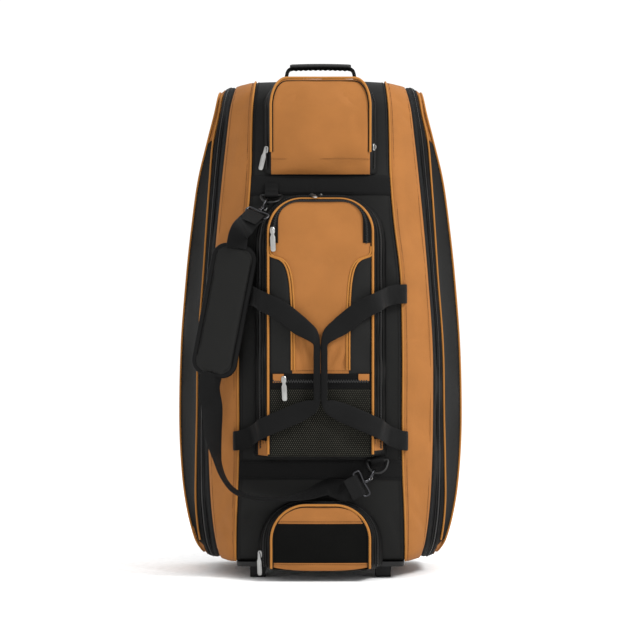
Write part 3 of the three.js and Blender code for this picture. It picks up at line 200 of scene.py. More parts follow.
class ColourSettings(bpy.types.PropertyGroup):
    """Colours of the bag's materials."""

    tan: colour_property("Tan nylon", "Coloured cloth of the panels", "#95602F")
    piping: colour_property("Piping", "Cord along the seams", "#A06A2F")
    black: colour_property("Black nylon", "Black cloth of the panels", "#121211")
    pad: colour_property("Pad", "Cloth of the shoulder pad", "#141413")
    webbing: colour_property("Webbing", "Straps and handles", "#0A0A0A")
    tape: colour_property("Tape", "Zip tape and binding", "#050505")
    coil: colour_property("Zip coil", "Coils of the zips", "#1A1A1A")
    mesh: colour_property("Mesh", "Knitted mesh of the pockets", "#050504")
    mesh_dot: colour_property("Mesh knots", "Lighter knots of the mesh", "#403F37")
    plastic: colour_property("Plastic", "Moulded base, rings and housings", "#0B0B0B")
    rubber: colour_property("Rubber", "Haul grip and feet", "#0C0C0C")
    wheel: colour_property("Wheel", "Wheels", "#0B0B0B")
    zinc: colour_property("Zip metal", "Cast zip pulls", "#9C9C9A")
    gunmetal: colour_property("Hook metal", "Snap hooks", "#3C3C3E")
    thread_tan: colour_property("Brown thread", "Stitching on coloured cloth", "#4A2A12")
    thread_black: colour_property("Black thread", "Stitching on black cloth", "#070707")


class BagSettings(bpy.types.PropertyGroup):
    """Sizes of the cloth's finish."""

    grid: length_property("Cloth grid", "Spacing of the cloth's grid", 0.005)
    slack: length_property("Slack", "Depth of the cloth's soft waves", 0.0015)
    pucker: length_property("Pucker", "Depth of the ripples beside the seams", 0.0008)
    seam_roll: length_property("Seam roll", "How far a panel turns in at its seams", 0.0016)
    stitch: length_property("Stitch", "Pitch of the stitching", 0.0032)
    tooth: length_property("Zip tooth", "Pitch of a zip's coil", 0.0022)


class PadSettings(bpy.types.PropertyGroup):
    """How the shoulder pad is filled."""

    pressure: FloatProperty(name="Pressure", description="Air pressure in the cloth simulation", default=4.0)
    steps: IntProperty(name="Steps", description="Frames of the cloth simulation", default=20)
    cap: length_property("Cap", "Furthest that a point may move", 0.003)


def bag_settings():
    """The sizes of the cloth's finish, in metres."""
    return bpy.context.scene.bag_settings


# Materials


def node(tree, kind, inputs=None, **settings):
    """Adds a shader node with its settings, and sets its inputs or links them to a socket or a node."""
    made = tree.nodes.new(kind)
    for key, value in settings.items():
        setattr(made, key, value)
    for key, value in (inputs or {}).items():
        if isinstance(value, bpy.types.Node):
            value = value.outputs[0]
        if isinstance(value, bpy.types.NodeSocket):
            tree.links.new(value, made.inputs[key])
        else:
            made.inputs[key].default_value = value
    return made


def new_material(name, colour, roughness, **surface):
    """Makes a material and gives its node tree and principled shader."""
    material = bpy.data.materials.new(name)
    material.use_nodes = True
    tree = material.node_tree
    shader = tree.nodes["Principled BSDF"]
    values = {"Base_Color": colour, "Roughness": roughness, **surface}
    for key, value in values.items():
        shader.inputs[key.replace("_", " ")].default_value = value
    return tree, shader


def finish(tree, shader, colour, height, depth, strength, invert=False):
    """Links a material's colour, and its relief with a depth in millimetres."""
    relief = {"Height": height, "Distance": depth * MM, "Strength": strength}
    bump = node(tree, "ShaderNodeBump", relief, invert=invert)
    tree.links.new(colour, shader.inputs["Base Color"])
    tree.links.new(bump.outputs[0], shader.inputs["Normal"])


def scaled(tree, pitch, source="UV"):
    """Texture coordinates that count one for each pitch, given in millimetres."""
    place = node(tree, "ShaderNodeTexCoord").outputs[source]
    return node(tree, "ShaderNodeVectorMath", {0: place, 1: (1 / (pitch * MM),) * 3}, operation="MULTIPLY")


def speckle(tree, size, detail):
    """Soft noise with patches of the given size in millimetres, fixed to the object."""
    place = scaled(tree, size, "Object")
    return node(tree, "ShaderNodeTexNoise", {"Vector": place, "Scale": 1.0, "Detail": detail})


def waves(tree, vector, axis, tilt=0.0):
    """A sine from 0 to 1 along one axis of the vector, with a share of the other axis added."""
    parts = node(tree, "ShaderNodeSeparateXYZ", {0: vector}).outputs
    slanted = {0: parts[1 - axis], 1: tilt, 2: parts[axis]}
    along = node(tree, "ShaderNodeMath", slanted, operation="MULTIPLY_ADD")
    turned = node(tree, "ShaderNodeMath", {0: along, 1: 2 * math.pi}, operation="MULTIPLY")
    wave = node(tree, "ShaderNodeMath", {0: turned}, operation="SINE")
    return node(tree, "ShaderNodeMath", {0: wave, 1: 0.5, 2: 0.5}, operation="MULTIPLY_ADD")


def mottle(tree, colour, spread, size):
    """The colour, lighter and darker by spread in soft patches of the given size in millimetres."""
    ramp = node(tree, "ShaderNodeValToRGB", {"Fac": speckle(tree, size, 4.0)})
    for stop, at, shade in zip(ramp.color_ramp.elements, (0.3, 0.7), (1 - spread, 1 + spread)):
        stop.position = at
        stop.color = [min(1, c * shade) for c in colour[:3]] + [1]
    return ramp.outputs["Color"]


def shaded(tree, colour, threads, darkest):
    """The colour, darker in the gaps between the threads: painted shade in the weave's hollows."""
    ramp = node(tree, "ShaderNodeValToRGB", {"Fac": threads})
    ramp.color_ramp.elements[0].color = (darkest, darkest, darkest, 1)
    inputs = {0: 1.0, 6: colour, 7: ramp}
    return node(tree, "ShaderNodeMix", inputs, data_type="RGBA", blend_type="MULTIPLY").outputs[2]


def woven(name, colour, pitch, roughness, depth, sheen, tilt=0.0):
    """Plain or twill woven cloth: threads of the given pitch crossing over and under, with painted shade in
    the gaps between them.
    """
    surface = {"Sheen_Weight": sheen, "Sheen_Roughness": 0.4, "Specular_IOR_Level": 0.14}
    tree, shader = new_material(name, colour, roughness, **surface)
    uv = scaled(tree, pitch)
    crossing = {0: waves(tree, uv, 0, tilt), 1: waves(tree, uv, 1, -tilt)}
    threads = node(tree, "ShaderNodeMath", crossing, operation="MULTIPLY")
    fuzz = speckle(tree, CLOTH_FUZZ, 6.0)
    height = node(tree, "ShaderNodeMath", {0: fuzz, 1: 0.6, 2: threads}, operation="MULTIPLY_ADD")
    # Mottled cloth colour, darkened to 0.82 in the gaps between the threads: painted shade.
    cloth_colour = shaded(tree, mottle(tree, colour, 0.06, CLOTH_PATCH), threads, 0.82)
    finish(tree, shader, cloth_colour, height, depth, 0.6)


def ribbed(name, colour, rib, roughness):
    """Webbing: ribs along its length with a herringbone of threads across, and painted shade in the gaps
    between the threads.
    """
    tree, shader = new_material(name, colour, roughness, Sheen_Weight=0.02, Specular_IOR_Level=0.1)
    uv = scaled(tree, rib)
    ribs, threads = waves(tree, uv, 0), waves(tree, uv, 1, 0.5)
    height = node(tree, "ShaderNodeMath", {0: threads, 1: 0.5, 2: ribs}, operation="MULTIPLY_ADD")
    # The gaps between the threads are darkened to 0.7 of the colour: painted shade.
    finish(tree, shader, shaded(tree, mottle(tree, colour, 0.1, 20), threads, 0.7), height, 0.3, 0.7)


def knitted(name, colour, dot, pitch):
    """Knitted mesh: rows of small oval holes, offset from row to row, over dark cloth."""
    tree, shader = new_material(name, colour, 0.85, Specular_IOR_Level=0.08)
    uv = scaled(tree, pitch)
    rows = {0: waves(tree, uv, 0, 0.5), 1: waves(tree, uv, 0, -0.5)}
    holes = node(tree, "ShaderNodeMath", rows, operation="MULTIPLY")
    knots = node(tree, "ShaderNodeMath", {0: holes, 1: KNOT_SHARE}, operation="GREATER_THAN")
    spotted = node(tree, "ShaderNodeMix", {0: knots, 6: colour, 7: dot}, data_type="RGBA").outputs[2]
    inputs = {0: 1.0, 6: spotted, 7: mottle(tree, PALE, 0.1, 30)}
    cloth_colour = node(tree, "ShaderNodeMix", inputs, data_type="RGBA", blend_type="MULTIPLY").outputs[2]
    finish(tree, shader, cloth_colour, holes, 0.4, 0.8, invert=True)


def moulded(name, colour, roughness, grain, depth, **surface):
    """Moulded plastic, rubber or cast metal with a fine grain, in millimetres."""
    tree, shader = new_material(name, colour, roughness, **surface)
    grains = speckle(tree, grain, 5.0)
    spread = {"Value": grains, "To Min": roughness * 0.8, "To Max": min(1, roughness * 1.2)}
    rough = node(tree, "ShaderNodeMapRange", spread)
    tree.links.new(rough.outputs[0], shader.inputs["Roughness"])
    finish(tree, shader, mottle(tree, colour, 0.08, 12), grains, depth, 0.5)


PALE = (0.8, 0.8, 0.8, 1.0)
CLOTH_FUZZ = 9
CLOTH_PATCH = 45
KNOT_SHARE = 0.42


def make_materials():
    """Pitches, grains and depths are in millimetres."""
    chosen = bpy.context.scene.bag_colours
    colour = {key: list(getattr(chosen, key)) for key in ColourSettings.__annotations__}
    # Bag nylon, woven and coated on the back: matt, with a fine square grain and a faint fuzz. Its threads
    # lie about 0.5 mm apart and are drawn at 0.9 mm, so that the grain shows.
    woven("nylon_tan_woven", colour["tan"], 0.9, 0.68, 0.14, 0.02)
    woven("nylon_black_woven", colour["black"], 0.9, 0.6, 0.14, 0.0)
    # The pad's twill: a slightly heavier thread, with a slanting grain.
    woven("nylon_black_pad", colour["pad"], 1.2, 0.6, 0.16, 0.01, tilt=0.5)
    # Woven tape, folded over a cord or an edge: closer and flatter than the cloth.
    woven("tape_tan_piping", colour["piping"], 0.7, 0.66, 0.08, 0.03)
    woven("tape_black_binding", colour["tape"], 0.8, 0.66, 0.1, 0.0)
    # Zip tape and webbing, woven in ribs: dull bands along the length. The ribs are drawn about twice as
    # wide as real.
    ribbed("tape_black_zip", colour["tape"], 1.2, 0.7)
    ribbed("webbing_black_ribbed", colour["webbing"], 1.7, 0.6)
    # Polyester mesh, knitted: dark, with a lighter knot between its holes. The holes are about 1.5 mm apart
    # and are drawn at 3.5 mm on the front pocket, so that they show. The bottom pocket's mesh is too dark
    # for them to.
    knitted("mesh_black_knitted", colour["mesh"], colour["mesh_dot"], 3.5)
    knitted("mesh_black_fine", colour["mesh"], colour["black"], 1.8)
    # Nylon monofilament, coiled: slightly glossy teeth.
    moulded("nylon_coil_black", colour["coil"], 0.4, 1.5, 0.03, Specular_IOR_Level=0.3)
    # ABS, moulded with a fine spark texture: a soft even shine.
    moulded("plastic_black_moulded", colour["plastic"], 0.45, 0.8, 0.04, IOR=1.5, Specular_IOR_Level=0.3)
    # Rubber, moulded: duller than the plastic.
    moulded("rubber_black_moulded", colour["rubber"], 0.6, 0.9, 0.06, IOR=1.52, Specular_IOR_Level=0.25)
    # Polyurethane, cast on the wheels: between the two.
    moulded("urethane_black_wheel", colour["wheel"], 0.5, 1.2, 0.06, IOR=1.5, Specular_IOR_Level=0.3)
    # Zinc alloy, die cast and tumbled: bright, with soft highlights.
    moulded("zinc_bright_cast", colour["zinc"], 0.34, 0.7, 0.03, Metallic=1.0)
    # Steel, plated in gunmetal: dark, with clear highlights.
    moulded("steel_gunmetal_plated", colour["gunmetal"], 0.28, 0.9, 0.03, Metallic=1.0)
    # Polyester thread, spun and sewn: dull.
    woven("thread_brown_sewn", colour["thread_tan"], 0.4, 0.7, 0.03, 0.05)
    woven("thread_black_sewn", colour["thread_black"], 0.4, 0.7, 0.03, 0.05)


# Meshes


def shift():
    """Where the bag's own place lies in the frame, in millimetres."""
    low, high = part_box("front_foot_left")
    return np.array((0, (low.y + high.y) / 2 / MM - FOOT_Y, 0))


SHIFT = shift()
SHARP_EDGE = math.radians(50)


class Pile:
    """Gathers closed parts of one mesh, in millimetres in the bag's own place."""

    def __init__(self):
        self.points, self.faces, self.uvs, self.count = [], [], [], 0

    def add(self, points, faces, corner_uvs):
        """Adds one part, with a uv for each corner of each face."""
        points = np.asarray(points, float).reshape(-1, 3)
        self.points.append(points)
        self.faces += [[int(i) + self.count for i in face] for face in faces]
        self.uvs.append(np.asarray(corner_uvs, float).reshape(-1, 2))
        self.count += len(points)
        return self

    def make(self, name, material, replaces=(), body="bag"):
        """Makes the mesh object, smooth and facing outwards, and tells the frame about it."""
        mesh = bpy.data.meshes.new(name)
        placed = (np.concatenate(self.points) + SHIFT) * MM
        mesh.from_pydata(placed.tolist(), [], self.faces)
        layer = mesh.uv_layers.new(name="cloth")
        layer.data.foreach_set("uv", np.concatenate(self.uvs).astype(np.float32).ravel())
        mesh.materials.append(bpy.data.materials[material])
        mesh.polygons.foreach_set("use_smooth", [True] * len(mesh.polygons))
        mesh.set_sharp_from_angle(angle=SHARP_EDGE)
        work = bmesh.new()
        work.from_mesh(mesh)
        bmesh.ops.recalc_face_normals(work, faces=work.faces)
        work.to_mesh(mesh)
        work.free()
        made = bpy.data.objects.new(name, mesh)
        bpy.context.scene.collection.objects.link(made)
        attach(made, body)
        if replaces:
            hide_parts(*replaces)
        return made


def run(steps):
    """Distances from the start, from the steps between places."""
    return np.concatenate([[0], np.cumsum(steps)])


def lengths(path):
    """The distance of each point of a path from its start."""
    return run(np.linalg.norm(np.diff(path, axis=0), axis=1))


def grid_lengths(grid):
    """Mean distances of a grid's rows and of its columns from the first."""
    rows = np.linalg.norm(np.diff(grid, axis=0), axis=2).mean(axis=1)
    columns = np.linalg.norm(np.diff(grid, axis=1), axis=2).mean(axis=0)
    return run(rows), run(columns)


def resample(path, count):
    """count points spread evenly along a path."""
    length = lengths(path)
    at = np.linspace(0, length[-1], count)
    return np.stack([np.interp(at, length, values) for values in path.T], axis=1)


def respace(points, step, closed=False):
    """The same path in even steps."""
    path = np.concatenate([points, points[:1]]) if closed else points
    count = max(2, int(round(lengths(path)[-1] / step)))
    even = resample(path, count + 1)
    return even[:-1] if closed else even


def grid_faces(rows, columns, closed_rows=False, closed_columns=False):
    """Four-sided faces over a grid of points."""
    faces = []
    for i in range(rows - (not closed_rows)):
        for j in range(columns - (not closed_columns)):
            k, m = (i + 1) % rows, (j + 1) % columns
            faces.append((i * columns + j, k * columns + j, k * columns + m, i * columns + m))
    return faces


def sheet_into(pile, outer, inner):
    """A sheet with thickness between two grids of the same counts."""
    rows, columns = outer.shape[:2]
    uv = np.stack(np.meshgrid(*grid_lengths(outer), indexing="ij"), axis=2).reshape(-1, 2) * MM
    points = np.concatenate([outer.reshape(-1, 3), inner.reshape(-1, 3)])
    size = rows * columns
    front = grid_faces(rows, columns)
    back = [tuple(reversed([i + size for i in face])) for face in front]
    loop = [(i, 0) for i in range(rows)] + [(rows - 1, j) for j in range(1, columns)]
    loop += [(i, columns - 1) for i in range(rows - 2, -1, -1)] + [(0, j) for j in range(columns - 2, 0, -1)]
    ring = [i * columns + j for i, j in loop]
    rim = [(a, b, b + size, a + size) for a, b in zip(ring, ring[1:] + ring[:1])]
    faces = front + back + rim
    corners = uv[np.concatenate([np.array(f) for f in faces]) % size]
    return pile.add(points, faces, corners)


def tube_into(pile, rings, closed=False):
    """A skin over rings of points, each ring closed on itself, with flat ends unless it is closed."""
    rings = np.asarray(rings, float)
    rows, columns = rings.shape[:2]
    u = run(np.linalg.norm(rings[0] - np.roll(rings[0], -1, axis=0), axis=1)) * MM
    v = lengths(rings.mean(axis=1)) * MM
    faces = grid_faces(rows, columns, closed, True)
    uvs = []
    for i in range(rows - (not closed)):
        v1 = v[i + 1] if i + 1 < rows else v[i] + 0.001
        for j in range(columns):
            uvs += [(u[j], v[i]), (u[j], v1), (u[j + 1], v1), (u[j + 1], v[i])]
    if not closed:
        for start in (0, (rows - 1) * columns):
            cap = [start + j for j in range(columns)]
            faces.append(cap if start else cap[::-1])
            uvs += [(0.0, 0.0)] * columns
    return pile.add(rings, faces, uvs)


def unit(v):
    """Vectors of length 1."""
    length = np.linalg.norm(v, axis=-1, keepdims=True)
    return v / np.where(length > 1e-9, length, 1)


def directions(points, closed=False):
    """The way a path runs at each of its points."""
    if closed:
        return unit(np.roll(points, -1, axis=0) - np.roll(points, 1, axis=0))
    return unit(np.gradient(points, axis=0))


def frames_along(points, facing, closed=False):
    """Unit vectors across and out of a path, with out as near as it can be to facing."""
    along = directions(points, closed)
    across = unit(np.cross(along, facing))
    return across, unit(np.cross(across, along))


def sweep_rings(points, facing, section, closed=False):
    """Rings of a section swept along points. section is (n, 2), or one such for every point."""
    across, out = frames_along(points, facing, closed)
    section = np.asarray(section, float)
    if section.ndim == 2:
        section = np.repeat(section[None], len(points), axis=0)
    return points[:, None] + section[:, :, :1] * across[:, None] + section[:, :, 1:] * out[:, None]


def circle(radius, sides):
    """A round section."""
    turn = 2 * math.pi * np.arange(sides) / sides
    return np.stack([radius * np.cos(turn), radius * np.sin(turn)], axis=1)


def strap_section(width, thick, lift=0.0):
    """Webbing's section: flat with rounded edges and a slight crown."""
    crown = 1.15
    half, t = width / 2, thick / 2
    across = np.array((-1, -0.97, -0.9, -0.5, 0, 0.5, 0.9, 0.97, 1)) * half
    rise = t * np.array((0.15, 0.7, 1, crown, crown, crown, 1, 0.7, 0.15))
    top = np.stack([across, lift + t + rise], axis=1)
    base = np.stack([across, lift + t - rise], axis=1)[::-1]
    return np.concatenate([top, base])


def curve_through(knots, step, closed=False):
    """Points along a smooth curve through the knots, and the share of the way at each, counted in knots."""
    knots = np.asarray(knots, float)
    n = len(knots)
    if closed:
        padded = np.concatenate([knots[-1:], knots, knots[:2]])
    else:
        padded = np.concatenate([[2 * knots[0] - knots[1]], knots, [2 * knots[-1] - knots[-2]]])
    spans = n if closed else n - 1
    points, places = [], []
    for i in range(spans):
        p0, p1, p2, p3 = padded[i : i + 4]
        d = [max(np.linalg.norm(b - a), 1e-6) ** 0.5 for a, b in ((p0, p1), (p1, p2), (p2, p3))]
        m1 = (p1 - p0) / d[0] - (p2 - p0) / (d[0] + d[1]) + (p2 - p1) / d[1]
        m2 = (p2 - p1) / d[1] - (p3 - p1) / (d[1] + d[2]) + (p3 - p2) / d[2]
        m1, m2 = m1 * d[1], m2 * d[1]
        count = max(1, int(round(np.linalg.norm(p2 - p1) / step)))
        for k in range(count + (i == spans - 1 and not closed)):
            s = k / count
            h = (2 * s**3 - 3 * s**2 + 1, s**3 - 2 * s**2 + s, 3 * s**2 - 2 * s**3, s**3 - s**2)
            points.append(h[0] * p1 + h[1] * m1 + h[2] * p2 + h[3] * m2)
            places.append(i + s)
    return np.array(points), np.array(places)


# The body's surface


def hermite(xs, ys, at):
    """Smooth interpolation of the rows of ys, the same as the solids use."""
    at = np.clip(np.asarray(at, float), xs[0], xs[-1])
    i = np.clip(np.searchsorted(xs, at, side="left"), 1, len(xs) - 1)
    slopes = np.empty_like(ys)
    for k in range(len(xs)):
        a, b = max(k - 1, 0), min(k + 1, len(xs) - 1)
        slopes[k] = (ys[b] - ys[a]) / (xs[b] - xs[a])
    step = xs[i] - xs[i - 1]
    s = (at - xs[i - 1]) / step
    return (
        ys[i - 1] * (2 * s**3 - 3 * s**2 + 1)
        + slopes[i - 1] * step * (s**3 - 2 * s**2 + s)
        + ys[i] * (3 * s**2 - 2 * s**3)
        + slopes[i] * step * (s**3 - s**2)
    )


def height_share(z):
    """How far up the body a height is."""
    return np.clip((np.asarray(z, float) - BODY_BASE) / BODY_HEIGHT, 0, 1)


def section_value(column, z):
    """A column of SECTIONS at heights z."""
    return hermite(SECTIONS[:, 0], SECTIONS[:, SECTION_COLUMNS.index(column)], height_share(z))


def rail(column, u):
    """A column of RAILS at u seams out from the middle."""
    values = RAILS[:, RAIL_COLUMNS.index(column)]
    xs = np.arange(-1, 6)
    ys = np.array([values[1], *values, values[4]], float)
    return hermite(xs.astype(float), ys, np.clip(u, 0, 4))


def half_at(u, z):
    """The body's half width at u seams out and heights z."""
    widths = [np.zeros_like(np.asarray(z, float))]
    widths += [section_value(name, z) * HALF_WIDTH for name in SECTION_COLUMNS[1:5]]
    widths = np.stack(widths)
    u = np.clip(np.asarray(u, float) + 0 * np.asarray(z, float), 0, 4)
    i = np.minimum(np.floor(u).astype(int), 3)
    low = np.take_along_axis(widths, i[None], axis=0)[0]
    high = np.take_along_axis(widths, i[None] + 1, axis=0)[0]
    return low + (high - low) * (u - i)


def swell(z):
    """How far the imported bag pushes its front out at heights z."""
    return FRONT_BULGE * np.sin(math.pi * height_share(z)) ** 0.8


def body_point(u, t):
    """Points of the body's surface. u counts the seams out from the middle and t the legs round the bag."""
    u, t = np.broadcast_arrays(np.asarray(u, float), np.asarray(t, float))
    side = np.abs(u)
    front = BODY_FRONT + rail("front", side) * BODY_DEPTH
    back = -BODY_FRONT - rail("back", side) * BODY_DEPTH
    top = BODY_TOP - rail("top", side) * BODY_DEPTH
    base = BODY_BASE + rail("base", side) * BODY_DEPTH
    r_top, r_base = rail("top_radius", side) * BODY_DEPTH, rail("base_radius", side) * BODY_DEPTH
    wrapped = np.mod(t, 8)
    leg = np.floor(wrapped).astype(int)
    s = wrapped - leg
    sin, cos = np.sin(s * math.pi / 2), np.cos(s * math.pi / 2)

    def mix(a, b):
        return a + (b - a) * s

    ys = (
        mix(back - r_base, front + r_base),
        front + r_base * (1 - sin),
        front,
        front + r_top * (1 - cos),
        mix(front + r_top, back - r_top),
        back - r_top * (1 - sin),
        back,
        back - r_base * (1 - cos),
    )
    zs = (
        base,
        base + r_base * (1 - cos),
        mix(base + r_base, top - r_top),
        top - r_top * (1 - sin),
        top,
        top - r_top * (1 - cos),
        mix(top - r_top, base + r_base),
        base + r_base * (1 - sin),
    )
    y, z = np.choose(leg, ys), np.choose(leg, zs)
    ahead = np.clip(np.minimum(wrapped, 5 - wrapped), 0, 1)
    y = y - ahead * swell(z) * rail("bulge", side)
    y = y + ahead * np.clip(side - 3, 0, 1) * section_value("bow", z) * SIDE_BOW
    return np.stack([half_at(side, z) * np.sign(u), y, z], axis=-1)


def body_normal(u, t):
    """The way out of the body's surface."""
    u, t = np.broadcast_arrays(np.asarray(u, float), np.asarray(t, float))
    across = body_point(np.clip(u + 0.02, -4, 4), t) - body_point(np.clip(u - 0.02, -4, 4), t)
    along = body_point(u, t + 0.01) - body_point(u, t - 0.01)
    normal = unit(np.cross(across, along))
    edge = (np.abs(u) > 3.98)[..., None]
    return unit(normal + edge * np.stack([np.sign(u), 0 * u, 0 * u], axis=-1))


def front_y(x, z):
    """Where the front panel lies at x and z."""
    seam, zip_inner = half_at(1.0, z), half_at(2.0, z)
    x = np.abs(x)
    u = np.where(x < seam, x / seam, 1 + (x - seam) / (zip_inner - seam))
    return BODY_FRONT + rail("front", u) * BODY_DEPTH - swell(z) * rail("bulge", u)


TOP_RADIUS = 0.15 * BODY_DEPTH
FRONT_RUN_TOP = BODY_TOP - TOP_RADIUS


def on_front(x, s, d):
    """A place on the front: x across, s up it and then over the top edge, d out from the panel."""
    x, s, d = np.broadcast_arrays(np.asarray(x, float), np.asarray(s, float), np.asarray(d, float))
    z = np.minimum(s, FRONT_RUN_TOP)
    turn = np.maximum(0, s - FRONT_RUN_TOP) / TOP_RADIUS
    y = front_y(x, z) + TOP_RADIUS * (1 - np.cos(turn)) - d * np.cos(turn)
    return np.stack([x, y, z + (TOP_RADIUS + d) * np.sin(turn)], axis=-1)


# Soft relief

FORWARD = np.array((0.0, -1.0, 0.0))
WAVES = np.random.default_rng(11)
WAVE_TURNS = WAVES.uniform(0, 2 * math.pi, 8)
WAVE_SIZES = WAVES.uniform(55, 190, 8)
WAVE_WAYS = unit(WAVES.normal(size=(8, 3)))


def slack(points, depth):
    """Gentle waves, as in cloth that is neither tight nor pressed."""
    total = np.zeros(points.shape[:-1])
    for turn, size, way in zip(WAVE_TURNS, WAVE_SIZES, WAVE_WAYS):
        total += np.sin(points @ way * 2 * math.pi / size + turn) * (size / 120)
    return depth * total / 2.5


def creases(points, normals, pocket=False):
    """How far the creases of FOLDS press each point in."""
    total = np.zeros(points.shape[:-1])
    for plane, a, z, angle, length, width, depth in FOLDS:
        if (plane == "pocket") != pocket:
            continue
        axis = 1 if plane == "side" else 0
        out = {"side": np.abs(normals[..., 0]), "back": normals[..., 1]}.get(plane, -normals[..., 1])
        weight = np.clip(out, 0, 1)
        turn = math.radians(angle)
        da, dz = points[..., axis] - a, points[..., 2] - z
        across = da * math.cos(turn) - dz * math.sin(turn)
        along = da * math.sin(turn) + dz * math.cos(turn)
        a = across / width
        total += weight * depth * (0.6 + 1.2 * a) * np.exp(-(a**2) - (along / length * 1.6) ** 2)
    return total


def puckers(grid, depth):
    """Short ripples square to the sewn edges of a grid, dying out inwards."""
    pitch, reach = 15.0, 9.0
    rows, columns = grid_lengths(grid)
    rows, columns = rows[:, None], columns[None]
    edges = ((columns, rows), (columns, rows[-1] - rows), (rows, columns), (rows, columns[:, -1:] - columns))
    total = np.zeros(grid.shape[:2])
    for along, distance in edges:
        wobble = np.sin(2 * math.pi * along / pitch + 2.1 * np.sin(along / 37.0) + distance / 11.0)
        total = total + depth * wobble * np.exp(-distance / reach) * np.minimum(1, distance / 3)
    return total


def edge_roll(grid, roll, reach=6.0, sides=(1, 1, 1, 1)):
    """How far a sewn grid dips towards its edges. sides: first and last row, first and last column."""
    rows, columns = grid_lengths(grid)
    rows, columns = rows[:, None], columns[None]
    dip = np.zeros(grid.shape[:2])
    for on, distance in zip(sides, (rows, rows[-1] - rows, columns, columns[:, -1:] - columns)):
        if on:
            dip = np.maximum(dip, np.clip(1 - distance / reach, 0, 1) ** 2 + 0 * dip)
    return roll * dip


def spaced(values, positions, step):
    """Parameter values that put points of a line in even steps."""
    length = lengths(positions)
    count = max(2, int(round(length[-1] / step)))
    return np.interp(np.linspace(0, length[-1], count + 1), length, values)


MOST_RELIEF = 2.8
CALM_EDGE = 16.0


def cloth_shell(name, grid, normals, material, replaces, soft=1.0, sides=(1, 1, 1, 1), puff=0.0):
    """A sewn panel: soft relief outside, a plain face inside, and edges that turn in."""
    settings = bag_settings()
    relief = soft * (slack(grid, settings.slack / MM) - creases(grid, normals))
    dip = edge_roll(grid, settings.seam_roll / MM, sides=sides)
    calm = np.clip(1 - edge_roll(grid, 1.0, CALM_EDGE), 0, 1)
    arcs = [np.sin(np.linspace(0, math.pi, count)) ** 0.5 for count in grid.shape[:2]]
    rise = relief * calm + puff * np.outer(*arcs) + soft * puckers(grid, settings.pucker / MM)
    relief = np.minimum(rise, MOST_RELIEF)
    outer = grid + normals * (relief - dip)[..., None]
    inner = grid - normals * (WALL + np.maximum(0, -relief))[..., None]
    return sheet_into(Pile(), outer, inner).make(name, material, replaces)


def body_panel(name, u0, u1, t0, t1, material, replaces, soft=1.0, gap=0.15, puff=0.0, sides=(1, 1, 1, 1)):
    """One sewn panel of the body between two seams."""
    step = bag_settings().grid / MM
    fine = np.linspace(t0, t1, 600)
    ts = spaced(fine, body_point((u0 + u1) / 2, fine), step)
    middle = (t0 + t1) / 2
    fine = np.linspace(u0, u1, 80)
    us = spaced(fine, body_point(fine, middle), step)
    u, t = np.meshgrid(us, ts, indexing="ij")
    grid, normals = body_point(u, t), body_normal(u, t)
    pull = unit(grid[1] - grid[0]) * gap, unit(grid[-2] - grid[-1]) * gap
    grid[0] += pull[0]
    grid[-1] += pull[1]
    grid[:, 0] += unit(grid[:, 1] - grid[:, 0]) * gap
    grid[:, -1] += unit(grid[:, -2] - grid[:, -1]) * gap
    return cloth_shell(name, grid, normals, material, replaces, soft=soft, puff=puff, sides=sides)


def seam_line(u, t0, t1, lift, closed=False):
    """A path along the body just off its surface, and the surface's normals beside it."""
    fine = np.linspace(t0, t1, 900)
    base, normals = body_point(u, fine), body_normal(u, fine)
    lifted = base + normals * lift
    path = respace(lifted[:-1] if closed else lifted, 5.0, closed)
    nearest = np.argmin(np.linalg.norm(path[:, None] - base[None], axis=2), axis=1)
    return path, normals[nearest]


THREAD_RADIUS = 0.42
# The rings of one stitch: share of the pitch along it, size, and height over the cloth.
STITCH_RINGS = ((-0.36, 0.5, -0.25), (-0.15, 1, 0.1), (0.15, 1, 0.1), (0.36, 0.5, -0.25))
TAPE_RIDGE = 1.3
RIM_CORD = 2.2


def cord(name, points, facing, material, replaces, radius=PIPING, closed=False):
    """A round cord along a path."""
    rings = sweep_rings(points, facing, circle(radius, 8), closed)
    return tube_into(Pile(), rings, closed).make(name, material, replaces)


def stitches_into(pile, points, facing):
    """Stitches of thread laid along a path, a little sunk in."""
    pitch = bag_settings().stitch / MM
    path = respace(points, pitch)
    normals = facing if facing.ndim == 1 else facing[np.linspace(0, len(facing) - 1, len(path)).astype(int)]
    normals = np.broadcast_to(normals, path.shape)
    along = directions(path)
    across = unit(np.cross(along, normals))
    ring = circle(THREAD_RADIUS, 5)
    for p, a, b, n in zip(path, along, across, unit(normals)):
        rings = [
            p + a * pitch * share + b * ring[:, :1] * size + n * (ring[:, 1:] * size + lift)
            for share, size, lift in STITCH_RINGS
        ]
        tube_into(pile, rings)


def zip_into(pile, points, facing, width, height):
    """A zip's chain: teeth from either side that meet in the middle."""
    pitch = bag_settings().tooth / MM
    path = respace(points, pitch)
    normals = np.broadcast_to(facing, points.shape)
    normals = normals[np.linspace(0, len(normals) - 1, len(path)).astype(int)]
    across, out = frames_along(path, normals)
    along = directions(path)
    half = width / 2
    corners = [(a, c, h) for h in (0, height) for a, c in ((-0.3, 0), (0.3, 0), (0.3, 1), (-0.3, 1))]
    quads = [(0, 3, 2, 1), (4, 5, 6, 7), (0, 1, 5, 4), (1, 2, 6, 5), (2, 3, 7, 6), (3, 0, 4, 7)]
    for k, p in enumerate(path):
        way = 1 if k % 2 else -1
        box = [
            p + along[k] * a * 1.5 * pitch + across[k] * way * half * (c - 0.12) + out[k] * h * (1 - 0.2 * c)
            for a, c, h in corners
        ]
        pile.add(box, quads, [(0, 0), (0.001, 0), (0.001, 0.001), (0, 0.001)] * 6)


# The body

